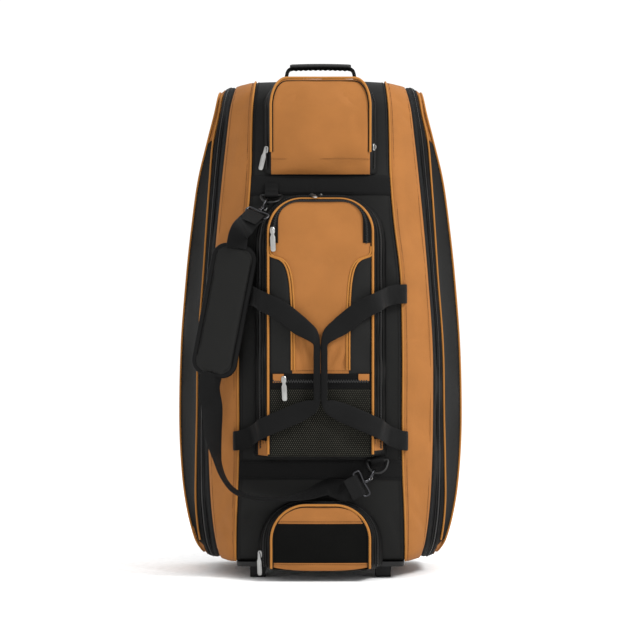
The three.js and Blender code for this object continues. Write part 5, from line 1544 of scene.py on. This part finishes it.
def fill_with_air(cloth):
    """Puffs a cushion up with a short cloth simulation and keeps the result as its mesh."""
    settings = bpy.context.scene.pad_settings
    scene = bpy.context.scene
    bpy.context.view_layer.objects.active = cloth
    remesh = cloth.modifiers.new("remesh", "REMESH")
    remesh.mode, remesh.voxel_size, remesh.use_smooth_shade = "VOXEL", PAD_VOXEL * MM, True
    apply_modifier(cloth, remesh)
    rest = np.empty(len(cloth.data.vertices) * 3, np.float32)
    cloth.data.vertices.foreach_get("co", rest)
    modifier = cloth.modifiers.new("air", "CLOTH")
    modifier.settings.use_pressure = True
    modifier.settings.uniform_pressure_force = settings.pressure
    modifier.settings.quality = 6
    modifier.settings.mass = 0.2
    modifier.settings.effector_weights.gravity = 0
    for frame in range(1, settings.steps + 1):
        scene.frame_set(frame)
    apply_modifier(cloth, modifier)
    scene.frame_set(1)
    moved = np.empty(len(rest), np.float32)
    cloth.data.vertices.foreach_get("co", moved)
    change = (moved - rest).reshape(-1, 3)
    length = np.linalg.norm(change, axis=1, keepdims=True)
    capped = rest.reshape(-1, 3) + change * np.minimum(1, settings.cap / np.maximum(length, 1e-9))
    cloth.data.vertices.foreach_set("co", capped.ravel())
    cloth.data.update()
    finer = cloth.modifiers.new("finer", "SUBSURF")
    finer.levels = finer.render_levels = 1
    apply_modifier(cloth, finer)


def apply_modifier(target, modifier):
    with bpy.context.temp_override(object=target, active_object=target):
        bpy.ops.object.modifier_apply(modifier=modifier.name)


RING_OUT = 9.5
RING_WIDTH = 36
RING_DROP = 25
RING_WIRE = 2.4
HOOK_WIRE = 1.8
HOOK_LOOP = 10
HOOK_SHANK = 1.2 * HOOK_LOOP
# The swivel's turned barrel: places along it and its radius there.
HOOK_BARREL = [(-0.6, 2.0), (0, 2.9), (1.5, 3.6), (3.5, 3.9), (4.5, 3.0), (7.5, 3.0), (8.5, 3.9), (10.5, 3.9)]
HOOK_BARREL.append((HOOK_SHANK, 3.0))
# Each ring: x, z, how far it leans out in radians, and whether its tab is sewn above it or below.
RINGS = {
    "upper": (-0.337 * HALF_WIDTH, UPPER_BAND - 0.56 * BAND_WIDTH, 1.0, 1),
    "lower": (0.39 * HALF_WIDTH, LOWER_BAND + 0.53 * BAND_WIDTH, 0.5, -1),
}
# The way each snap hook points from its ring towards the strap, and the way its broad side faces.
HEADINGS = {
    "upper": ((-0.64, -0.56, -0.62), (-0.5, -0.85, 0.1)),
    "lower": ((-0.84, -0.25, -0.42), (0.0, -1.0, 0.0)),
}
# The lower strap's route down from the pad and across to its hook. Columns: x as a share of HALF_WIDTH, z
# of the body's height, out of the front pocket's depth, and the strap's roll in degrees.
LOWER_ROUTE = np.array([
    (-0.745, 0.32, 0.46, 14),
    (-0.736, 0.262, 0.52, 42),
    (-0.706, 0.212, 0.77, 74),
    (-0.655, 0.174, 0.95, 82),
    (-0.585, 0.15, 0.95, 82),
    (-0.47, 0.1365, 0.9, 85),
    (-0.35, 0.1335, 0.85, 86),
    (-0.21, 0.1345, 0.8, 82),
    (-0.07, 0.142, 0.68, 68),
    (0.06, 0.156, 0.52, 45),
])


def ring_bow(x, z, lean):
    """The bow's nine points, from one end of the bar to the other."""
    turn = np.pi * np.arange(9) / 8
    a, b = RING_WIDTH / 2 * np.cos(turn), -RING_DROP * np.sin(turn).clip(0) ** 0.8
    y = BODY_FRONT - swell(z) - RING_OUT + b * math.sin(lean)
    return np.stack([x + a, y, z + b * math.cos(lean)], axis=1)


def make_rings():
    """The two rings and the webbing tabs that hold them."""
    for word, (x, z, lean, way) in RINGS.items():
        bow = ring_bow(x, z, lean)
        bar = [(x + share * RING_WIDTH, bow[0, 1], z) for share in (-0.3, 0, 0.3)]
        path, _ = curve_through(np.concatenate([bow, bar]), 1.6, closed=True)
        facing = (0.0, -math.cos(lean), math.sin(lean))
        rings = sweep_rings(path, facing, circle(RING_WIRE, 14), closed=True)
        ring = tube_into(Pile(), rings, closed=True)
        ring.make(f"d_ring_{word}_moulded", "plastic_black_moulded", [f"d_ring_{word}"])
        make_ring_tab(word, x, z, way)


def make_ring_tab(word, x, z, way):
    """The webbing looped round a ring's bar and sewn to the band."""
    loop = RING_WIRE + 0.3 + 0.75 * WEBBING
    back, thick, out = 0.6 + 1.5 * WEBBING + 1.6, 0.8 * WEBBING, RING_OUT
    rows = [
        (0.88 * way * RING_DROP, back),
        (0.36 * way * RING_DROP, back),
        (way * loop, min(out - loop, back + 0.3)),
        (0, out - loop),
        (-way * 0.71 * loop, out - 0.71 * loop),
        (-way * loop, out),
        (-way * 0.71 * loop, out + 0.71 * loop),
        (0, out + loop),
        (way * 1.2 * loop, out + 0.5 * loop),
        (0.4 * way * RING_DROP, back + WEBBING + 0.6),
        (0.88 * way * RING_DROP, back + WEBBING + 0.3),
    ]
    knots = np.array([(x, front_y(x, z) - d, z + b) for b, d in rows], float)
    points, _ = curve_through(knots, 1.5)
    facing = unit(np.cross((1.0, 0.0, 0.0), directions(points)))
    rings = sweep_rings(points, facing, strap_section(RING_WIDTH - 4 * RING_WIRE - 3, thick, -thick / 2))
    tube_into(Pile(), rings).make(f"ring_tab_{word}_webbing", "webbing_black_ribbed", [f"ring_tab_{word}"])


def hook_frame(word):
    """Where a hook takes hold of its ring, and the wire's direction there."""
    x, z, lean, _ = RINGS[word]
    bow = ring_bow(x, z, lean)
    return bow[5], unit(bow[6] - bow[4])


def hook_axes(word):
    """The hook's strap bar and its axes."""
    at, wire = hook_frame(word)
    along, forward = (unit(np.array(v, float)) for v in HEADINGS[word])
    forward = unit(forward - along * (forward @ along))
    across = np.cross(along, forward)
    square = unit(along - wire * (along @ wire))
    loop_from = RING_WIRE + HOOK_WIRE + 0.6
    start = at + square * (2 * HOOK_LOOP - loop_from) - along * HOOK_WIRE / 2
    return start, along, forward, across, square, loop_from


def make_hook(word):
    """A snap hook: its loop, swivel barrel, strap bar and lever."""
    at, wire = hook_frame(word)
    start, along, forward, across, square, loop_from = hook_axes(word)
    sideways = unit(np.cross(square, wire))
    pile = Pile()
    turns = np.linspace(0, 2 * math.pi, 40, endpoint=False)
    reach = HOOK_LOOP - loop_from - HOOK_LOOP * np.cos(turns)
    loop = at + square * reach[:, None] + sideways * (1.3 * loop_from * np.sin(turns))[:, None]
    rings = sweep_rings(loop, wire, circle(HOOK_WIRE, 12), closed=True)
    tube_into(pile, rings, closed=True)

    def place(a, f, c):
        return start + along * a + forward * f + across * c

    spine = np.array([place(a, 0, 0) for a, _ in HOOK_BARREL])
    sections = np.array([circle(r, 20) for _, r in HOOK_BARREL])
    tube_into(pile, sweep_rings(spine, forward, sections))
    half = STRAP_WIDTH / 2 + HOOK_WIRE + 1.2
    begin = HOOK_SHANK + HOOK_WIRE / 2
    corners = [(0, -1), (0, 0), (0, 1), (0.5, 1.05), (1, 1), (1, 0), (1, -1), (0.5, -1.05)]
    knots = [place(begin + a * HOOK_LOOP, 0, c * half) for a, c in corners]
    frame, _ = curve_through(knots, 1.5, closed=True)
    rings = sweep_rings(frame, forward, circle(HOOK_WIRE, 12), closed=True)
    tube_into(pile, rings, closed=True)
    pile.make(f"snap_hook_{word}_body", "steel_gunmetal_plated", [f"snap_hook_{word}"])
    lever = Pile()
    tip = at + square * (2 * HOOK_LOOP - loop_from) * 0.55 + sideways * (1.3 * loop_from + 1.4)
    knots = [place(1.0, 0, 0) + sideways * 3.0, (tip + place(0, 0, 0) + sideways * 5) / 2, tip]
    points, _ = curve_through(knots, 1.2)
    tube_into(lever, sweep_rings(points, wire, circle(1, 12) * (1.2, 2.0)))
    thumb = at + square * (HOOK_LOOP * 0.9) + sideways * (1.3 * loop_from + 2.6)
    knob, _ = curve_through([thumb - square * 2.5, thumb, thumb + square * 2.5], 0.8)
    tube_into(lever, sweep_rings(knob, wire, circle(1, 12) * (1.5, 2.4)))
    lever.make(f"snap_hook_{word}_lever", "zinc_bright_cast")


def fold_round(word):
    """Where the strap is folded round its hook's bar and sewn back on itself."""
    start, along, forward, across, _, _ = hook_axes(word)
    bar = start + along * (HOOK_SHANK + HOOK_WIRE / 2 + HOOK_LOOP)
    r = HOOK_WIRE + 0.6 + WEBBING / 2
    legs = [(0.6, 1), (0.3, 1), (0, 1)]
    rows = [(a * STRAP_WIDTH, b * r) for a, b in legs]
    rows += [(-0.8 * r, 0.6 * r), (-r, 0), (-0.8 * r, -0.6 * r)]
    rows += [(a * STRAP_WIDTH, -b * r) for a, b in legs[::-1]]
    return [bar + along * a + forward * f for a, f in rows], across


def strap_facing(points, rolls):
    """The way the strap's broad side faces, rolled from the front by degrees."""
    along = directions(points)
    flat = unit(FORWARD - along * (along @ FORWARD)[:, None])
    edge = np.cross(along, flat)
    roll = np.radians(rolls)[:, None]
    return flat * np.cos(roll) + edge * np.sin(roll)


def strap_length(word, route):
    """One length of the shoulder strap, from the fold at its hook to the pad."""
    name = f"shoulder_strap_{word}_webbing"
    fold, across = fold_round(word)
    knots = np.array(fold + [p for p, _ in route])
    rolls = np.array([0.0] * len(fold) + [roll for _, roll in route])
    points, places = curve_through(knots, 3.0)
    facing = strap_facing(points, np.interp(places, np.arange(len(knots)), rolls))
    ways = directions(points)
    folded = places <= len(fold) - 1
    facing[folded] = np.cross(across, ways[folded])
    for k in range(1, len(facing)):
        if facing[k] @ facing[k - 1] < 0:
            facing[k] = -facing[k]
    for _ in range(3):
        facing[1:-1] = unit(facing[:-2] + 2 * facing[1:-1] + facing[2:])
    rings = sweep_rings(points, facing, strap_section(STRAP_WIDTH, WEBBING * 1.1, -WEBBING * 0.55))
    tube_into(Pile(), rings).make(name, "webbing_black_ribbed", [f"shoulder_strap_{word}"])
    thread = Pile()
    end = int(np.argmax(places > len(fold) - 0.6))
    p, n = points[end], facing[end]
    side = unit(np.cross(ways[end], n))
    for shift_along in (-3, 3):
        line = np.array([p + ways[end] * shift_along + side * c + n * 1.3 for c in np.linspace(-16, 16, 20)])
        stitches_into(thread, line, n)
    thread.make(name + "_stitches", "thread_black_sewn")


def make_shoulder_strap():
    end = PAD_LENGTH / 2
    upper = [(end + 0.55 * STRAP_WIDTH, PAD_THICK / 4), (end - 6, PAD_THICK / 2)]
    upper = [(pad_place(along, 0.0, out), PAD_ROLL) for along, out in upper]
    strap_length("upper", upper)
    lower = []
    for x, z, out, roll in LOWER_ROUTE[::-1]:
        spot = np.array((x * HALF_WIDTH, BODY_FRONT - out * FRONT_DEPTH, BODY_BASE + z * BODY_HEIGHT))
        lower.append((spot, roll))
    for along, out in ((-end - 0.55 * STRAP_WIDTH, 0.0), (-end + 6, PAD_THICK / 2)):
        lower.append((pad_place(along, 0.0, out), PAD_ROLL))
    strap_length("lower", lower)


# Zip pulls


def slab_into(pile, place, down, side, face, stations, f0, f1):
    """A flat bar with chamfered edges: stations are places down it and half widths."""
    rings = []
    for a, s in stations:
        middle = place + down * a
        edge = 0.25 * (f1 - f0)
        ring = [(-s, f0 + edge), (-s + edge, f0), (s - edge, f0), (s, f0 + edge)]
        ring += [(s, f1 - edge), (s - edge, f1), (-s + edge, f1), (-s, f1 - edge)]
        rings.append([middle + side * c + face * f for c, f in ring])
    tube_into(pile, rings)


def pull_into(pile, place, hang, face, tab=True):
    """A zip's slider, and the tab that hangs from it."""
    place, face = np.asarray(place, float), unit(np.asarray(face, float))
    hang = np.asarray(hang, float)
    down = unit(hang - face * (hang @ face))
    side = unit(np.cross(down, face))
    w, n, high, thick = PULL_WIDTH / 2, PULL_WIDTH / 5, 4.5, 1.8
    slider = [(-2, 0.5), (-1.9, 0.7), (-1.3, 1), (0, 1), (0.5, 0.8), (0.7, 0.6)]
    slab_into(pile, place, down, side, face, [(a * w, half * w) for a, half in slider], 0, 2.6)
    arched = ((-1.5, 2.2), (-1.2, 4.4), (-0.4, 4.8), (0.2, 2.2))
    bridge, _ = curve_through([place + down * a * w + face * f for a, f in arched], 0.8)
    tube_into(pile, sweep_rings(bridge, side, circle(0.9, 8)))
    if not tab:
        return
    f0 = high - thick / 4
    rows = [(-0.7 * w, n), (-0.2 * w, 1.5 * n), (1.0 * w, 1.6 * n), (1.5 * w, 0.8 * w), (2.0 * w, w)]
    rows += [(PULL_LENGTH - 4, w), (PULL_LENGTH - 1.5, 0.86 * w), (PULL_LENGTH, 0.55 * w)]
    slab_into(pile, place, down, side, face, rows, f0, f0 + thick)
    bar = [(2.8 * w, 0.5 * w), (3.1 * w, 0.62 * w), (PULL_LENGTH - 5, 0.62 * w), (PULL_LENGTH - 4, 0.5 * w)]
    slab_into(pile, place, down, side, face, bar, f0 + thick - 0.3, f0 + thick + 0.6)


def on_wall(pocket, s, share, side=-1, lift=0.36):
    """A place on a pocket's side wall, and the way out of it."""
    root = on_front(side * arch_half(pocket.base, s), s, 0)
    rim = on_front(side * arch_half(pocket.face, s), s, pocket.depth_at(s))
    outward = unit(np.cross(rim - root, (0.0, 0.0, 1.0)))
    if outward[0] * side < 0:
        outward = -outward
    return root + (rim - root) * share + outward * lift, outward


def make_pulls():
    """The five pulls, and the second sliders on the top pocket and the lid."""
    down = np.array((0.05, 0.0, -1.0))
    top_height, face = TOP_TOP - TOP_BOTTOM, FRONT.face
    place, out = on_wall(TOP, TOP_BOTTOM + 0.27 * top_height, 0.6)
    spots = {"top_pocket_pull": (place, np.array((-0.3, 0.0, -1.0)), out)}
    for name, x, s in (
        ("front_pocket_pull", -0.92 * face.half, face.top - face.radius),
        ("mesh_pocket_pull", -0.7 * face.half, MESH_TOP + MESH_ZIP / 2),
    ):
        spots[name] = (face_line(FRONT, x, s, 1.0), down, FORWARD)
    up = unit(np.array((0.0, -0.23, 1.0)))
    lid_hang = np.array((0.2, -1.0, 0.0))
    lid = on_front(-0.17 * face.half, (FRONT_TOP + face.top) / 2, FRONT_DEPTH / 2) + up * 0.66
    spots["lid_pull"] = (lid, lid_hang, up)
    place, out = on_wall(BOTTOM, BOTTOM.base.bottom + 0.14 * BOTTOM.base.top, 0.3)
    spots["bottom_pocket_pull"] = (place, down, out)
    # The two on side walls hang turned towards the front.
    for name in ("top_pocket_pull", "bottom_pocket_pull"):
        place, hang, out = spots[name]
        spots[name] = (place + 3.0 * out, hang, unit(out + 1.3 * FORWARD))
    for name, (place, hang, out) in spots.items():
        pile = Pile()
        pull_into(pile, place, hang, out)
        pile.make(name + "_cast", "zinc_bright_cast", [name])
    extra = Pile()
    place, out = on_wall(TOP, TOP_BOTTOM + 0.3 * top_height, 0.6, 1)
    pull_into(extra, place, (0.0, 0.0, -1.0), out, tab=False)
    pull_into(extra, lid + np.array((17.0, 0.0, 0.0)), lid_hang, up, tab=False)
    extra.make("second_sliders", "zinc_bright_cast")


# Base, wheels and feet

WHEEL_RADIUS = 35
WHEEL_WIDTH = 30
# Half of the wheel's section, from the bore out to the tread's groove: shares of its radius and of its half
# width.
WHEEL_HALF = [
    (0.14, -0.86), (0.3, -0.86), (0.34, -1.0), (0.42, -1.0), (0.46, -0.9), (0.5, -0.72), (0.72, -0.72),
    (0.77, -0.9), (0.82, -1.0), (0.93, -0.92), (0.985, -0.72), (1.0, -0.45), (1.0, -0.12), (0.975, -0.08),
]
WHEEL_PROFILE = WHEEL_HALF + [(r, -w) for r, w in reversed(WHEEL_HALF)]
WHEEL_SPOKES = 5


def make_wheels():
    """The wheels, each with spokes on both faces and riding its own body."""
    for word in ("left", "right"):
        low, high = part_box(f"wheel_{word}")
        centre = np.array(((low.x + high.x) / 2, (low.y + high.y) / 2, (low.z + high.z) / 2)) / MM - SHIFT
        pile = Pile()
        turn = 2 * math.pi * np.arange(72) / 72
        rings = []
        for r, w in WHEEL_PROFILE:
            radius = r * WHEEL_RADIUS - 0.1
            ring = [(w * (WHEEL_WIDTH / 2 - 0.1), radius * math.cos(a), radius * math.sin(a)) for a in turn]
            rings.append(centre + np.array(ring))
        rings = np.array(rings).transpose(1, 0, 2)
        tube_into(pile, rings, closed=True)
        for k in range(WHEEL_SPOKES):
            angle = 2 * math.pi * (k + 0.25) / WHEEL_SPOKES
            way = np.array((0.0, math.cos(angle), math.sin(angle)))
            for side in (-1, 1):
                face = np.array((side, 0.0, 0.0))
                start = centre + face * WHEEL_WIDTH / 2 * 0.7 + way * 0.46 * WHEEL_RADIUS
                stations = [(0, 3.2), (0.28 * WHEEL_RADIUS, 2.6)]
                slab_into(pile, start, way, np.cross(face, way), face, stations, 0, 2.4)
        pile.make(f"wheel_{word}_urethane", "urethane_black_wheel", [f"wheel_{word}"], body=f"wheel_{word}")


CAD_FINISH = {
    "base_board": "plastic_black_moulded",
    "wheel_housing_left": "plastic_black_moulded",
    "wheel_housing_right": "plastic_black_moulded",
    "front_foot_left": "rubber_black_moulded",
    "front_foot_right": "rubber_black_moulded",
}


def finish_base():
    """Colours and rounds the solids of the base, which need no more."""
    for name, material in CAD_FINISH.items():
        piece = FRAME["nodes"][name]
        piece.data.materials.clear()
        piece.data.materials.append(bpy.data.materials[material])
        bevel = piece.modifiers.new("edge", "BEVEL")
        bevel.width, bevel.segments, bevel.limit_method = 0.0012, 3, "ANGLE"
        bevel.angle_limit = math.radians(35)
        bevel.harden_normals = True


# Stage

CAMERA_AWAY = 4.0
CAMERA_HEIGHT = 0.459
CAMERA_LENS = 122.28
LIGHTS = [
    ("key", (2.4, -2.2, 3.0), (0, 0, 0.45), 1.1, 150),
    ("fill", (-2.6, -2.6, 1.3), (0, 0, 0.45), 2.4, 6),
    ("top", (0, 0.4, 3.2), (0, 0, 0.4), 2.0, 20),
]


def make_stage():
    """The camera where the photograph was taken from, soft studio lights and a pale floor."""
    scene = bpy.context.scene
    camera = bpy.data.objects.new("camera", bpy.data.cameras.new("camera"))
    scene.collection.objects.link(camera)
    camera.location = (-0.0009, -CAMERA_AWAY + SHIFT[1] * MM, CAMERA_HEIGHT)
    camera.rotation_euler = (math.radians(90), 0, 0)
    camera.data.lens = CAMERA_LENS
    camera.data.sensor_width = 36
    camera.data.dof.use_dof = False
    scene.camera = camera
    scene.view_settings.view_transform = "Standard"
    for name, place, target, size, power in LIGHTS:
        data = bpy.data.lights.new(name, "AREA")
        data.shape, data.size, data.energy = "SQUARE", size, power
        light = bpy.data.objects.new(name, data)
        light.location = place
        light.rotation_euler = (Vector(target) - Vector(place)).to_track_quat("-Z", "Y").to_euler()
        scene.collection.objects.link(light)
    world = bpy.data.worlds.new("studio")
    world.use_nodes = True
    background = world.node_tree.nodes["Background"]
    background.inputs["Color"].default_value = (1, 1, 1, 1)
    background.inputs["Strength"].default_value = 1.08
    scene.world = world
    mesh = bpy.data.meshes.new("floor")
    mesh.from_pydata([(-9, -5, 0), (9, -5, 0), (9, 9, 0), (-9, 9, 0)], [], [(0, 1, 2, 3)])
    moulded("studio_floor_pale", linear("#FDFDFD"), 0.9, 40, 0.0, Specular_IOR_Level=0.0)
    mesh.materials.append(bpy.data.materials["studio_floor_pale"])
    floor = bpy.data.objects.new("floor", mesh)
    scene.collection.objects.link(floor)


class KITBAG_OT_stage(bpy.types.Operator):
    """Camera, lights and floor"""

    bl_idname = "kitbag.stage"
    bl_label = "Stage"

    def execute(self, context):
        make_stage()
        return {"FINISHED"}


class KITBAG_OT_materials(bpy.types.Operator):
    """Cloth, webbing, mesh, plastic and metal"""

    bl_idname = "kitbag.materials"
    bl_label = "Materials"

    def execute(self, context):
        make_materials()
        return {"FINISHED"}


class KITBAG_OT_body(bpy.types.Operator):
    """The sewn panels of the body"""

    bl_idname = "kitbag.body"
    bl_label = "Body cloth"

    def execute(self, context):
        make_body()
        return {"FINISHED"}


class KITBAG_OT_seams(bpy.types.Operator):
    """Piping, stitching and side zips"""

    bl_idname = "kitbag.seams"
    bl_label = "Seams"

    def execute(self, context):
        make_piping()
        make_seams()
        return {"FINISHED"}


class KITBAG_OT_top_pocket(bpy.types.Operator):
    """The pocket over the top edge"""

    bl_idname = "kitbag.top_pocket"
    bl_label = "Top pocket"

    def execute(self, context):
        make_top_pocket()
        return {"FINISHED"}


class KITBAG_OT_front_pocket(bpy.types.Operator):
    """The large front pocket with its mesh pocket"""

    bl_idname = "kitbag.front_pocket"
    bl_label = "Front pocket"

    def execute(self, context):
        make_front_pocket()
        return {"FINISHED"}


class KITBAG_OT_bottom_pocket(bpy.types.Operator):
    """The low front pocket"""

    bl_idname = "kitbag.bottom_pocket"
    bl_label = "Bottom pocket"

    def execute(self, context):
        make_bottom_pocket()
        return {"FINISHED"}


class KITBAG_OT_bands(bpy.types.Operator):
    """Webbing across the front"""

    bl_idname = "kitbag.bands"
    bl_label = "Bands"

    def execute(self, context):
        make_bands()
        return {"FINISHED"}


class KITBAG_OT_carry_handles(bpy.types.Operator):
    """The two webbing handles on the front"""

    bl_idname = "kitbag.carry_handles"
    bl_label = "Carry handles"

    def execute(self, context):
        make_handles()
        return {"FINISHED"}


class KITBAG_OT_haul_handle(bpy.types.Operator):
    """The strap and rubber grip on top"""

    bl_idname = "kitbag.haul_handle"
    bl_label = "Haul handle"

    def execute(self, context):
        make_haul_handle()
        return {"FINISHED"}


class KITBAG_OT_shoulder_pad(bpy.types.Operator):
    """The shoulder strap's pad, filled by a cloth simulation"""

    bl_idname = "kitbag.shoulder_pad"
    bl_label = "Shoulder pad"

    def execute(self, context):
        make_pad()
        return {"FINISHED"}


class KITBAG_OT_rings(bpy.types.Operator):
    """The two rings with their tabs"""

    bl_idname = "kitbag.rings"
    bl_label = "Rings"

    def execute(self, context):
        make_rings()
        return {"FINISHED"}


class KITBAG_OT_hooks(bpy.types.Operator):
    """The two snap hooks"""

    bl_idname = "kitbag.hooks"
    bl_label = "Snap hooks"

    def execute(self, context):
        for word in HEADINGS:
            make_hook(word)
        return {"FINISHED"}


class KITBAG_OT_shoulder_strap(bpy.types.Operator):
    """The strap's two lengths of webbing"""

    bl_idname = "kitbag.shoulder_strap"
    bl_label = "Shoulder strap"

    def execute(self, context):
        make_shoulder_strap()
        return {"FINISHED"}


class KITBAG_OT_pulls(bpy.types.Operator):
    """The zips' sliders and tabs"""

    bl_idname = "kitbag.pulls"
    bl_label = "Zip pulls"

    def execute(self, context):
        make_pulls()
        return {"FINISHED"}


class KITBAG_OT_wheels(bpy.types.Operator):
    """The two wheels"""

    bl_idname = "kitbag.wheels"
    bl_label = "Wheels"

    def execute(self, context):
        make_wheels()
        return {"FINISHED"}


class KITBAG_OT_base(bpy.types.Operator):
    """Finish of the base board, wheel housings and feet"""

    bl_idname = "kitbag.base"
    bl_label = "Base"

    def execute(self, context):
        finish_base()
        return {"FINISHED"}


OPERATORS = [
    KITBAG_OT_stage,
    KITBAG_OT_materials,
    KITBAG_OT_body,
    KITBAG_OT_seams,
    KITBAG_OT_top_pocket,
    KITBAG_OT_front_pocket,
    KITBAG_OT_bottom_pocket,
    KITBAG_OT_bands,
    KITBAG_OT_carry_handles,
    KITBAG_OT_haul_handle,
    KITBAG_OT_shoulder_pad,
    KITBAG_OT_rings,
    KITBAG_OT_hooks,
    KITBAG_OT_shoulder_strap,
    KITBAG_OT_pulls,
    KITBAG_OT_wheels,
    KITBAG_OT_base,
]


class KITBAG_PT_panel(bpy.types.Panel):
    """Lists the steps that build the bag"""

    bl_idname = "KITBAG_PT_panel"
    bl_label = "Kit Bag"
    bl_space_type = "VIEW_3D"
    bl_region_type = "UI"
    bl_category = "Kit Bag"

    def draw(self, context):
        for operator in OPERATORS:
            self.layout.operator(operator.bl_idname)


CLASSES = [ColourSettings, BagSettings, PadSettings, *OPERATORS, KITBAG_PT_panel]


def register():
    for cls in CLASSES:
        bpy.utils.register_class(cls)
    bpy.types.Scene.bag_colours = PointerProperty(type=ColourSettings)
    bpy.types.Scene.bag_settings = PointerProperty(type=BagSettings)
    bpy.types.Scene.pad_settings = PointerProperty(type=PadSettings)


def unregister():
    del bpy.types.Scene.pad_settings
    del bpy.types.Scene.bag_settings
    del bpy.types.Scene.bag_colours
    for cls in reversed(CLASSES):
        bpy.utils.unregister_class(cls)


def main():
    register()
    for operator in OPERATORS:
        getattr(bpy.ops.kitbag, operator.bl_idname.split(".")[1])()


if __name__ == "__main__":
    main()
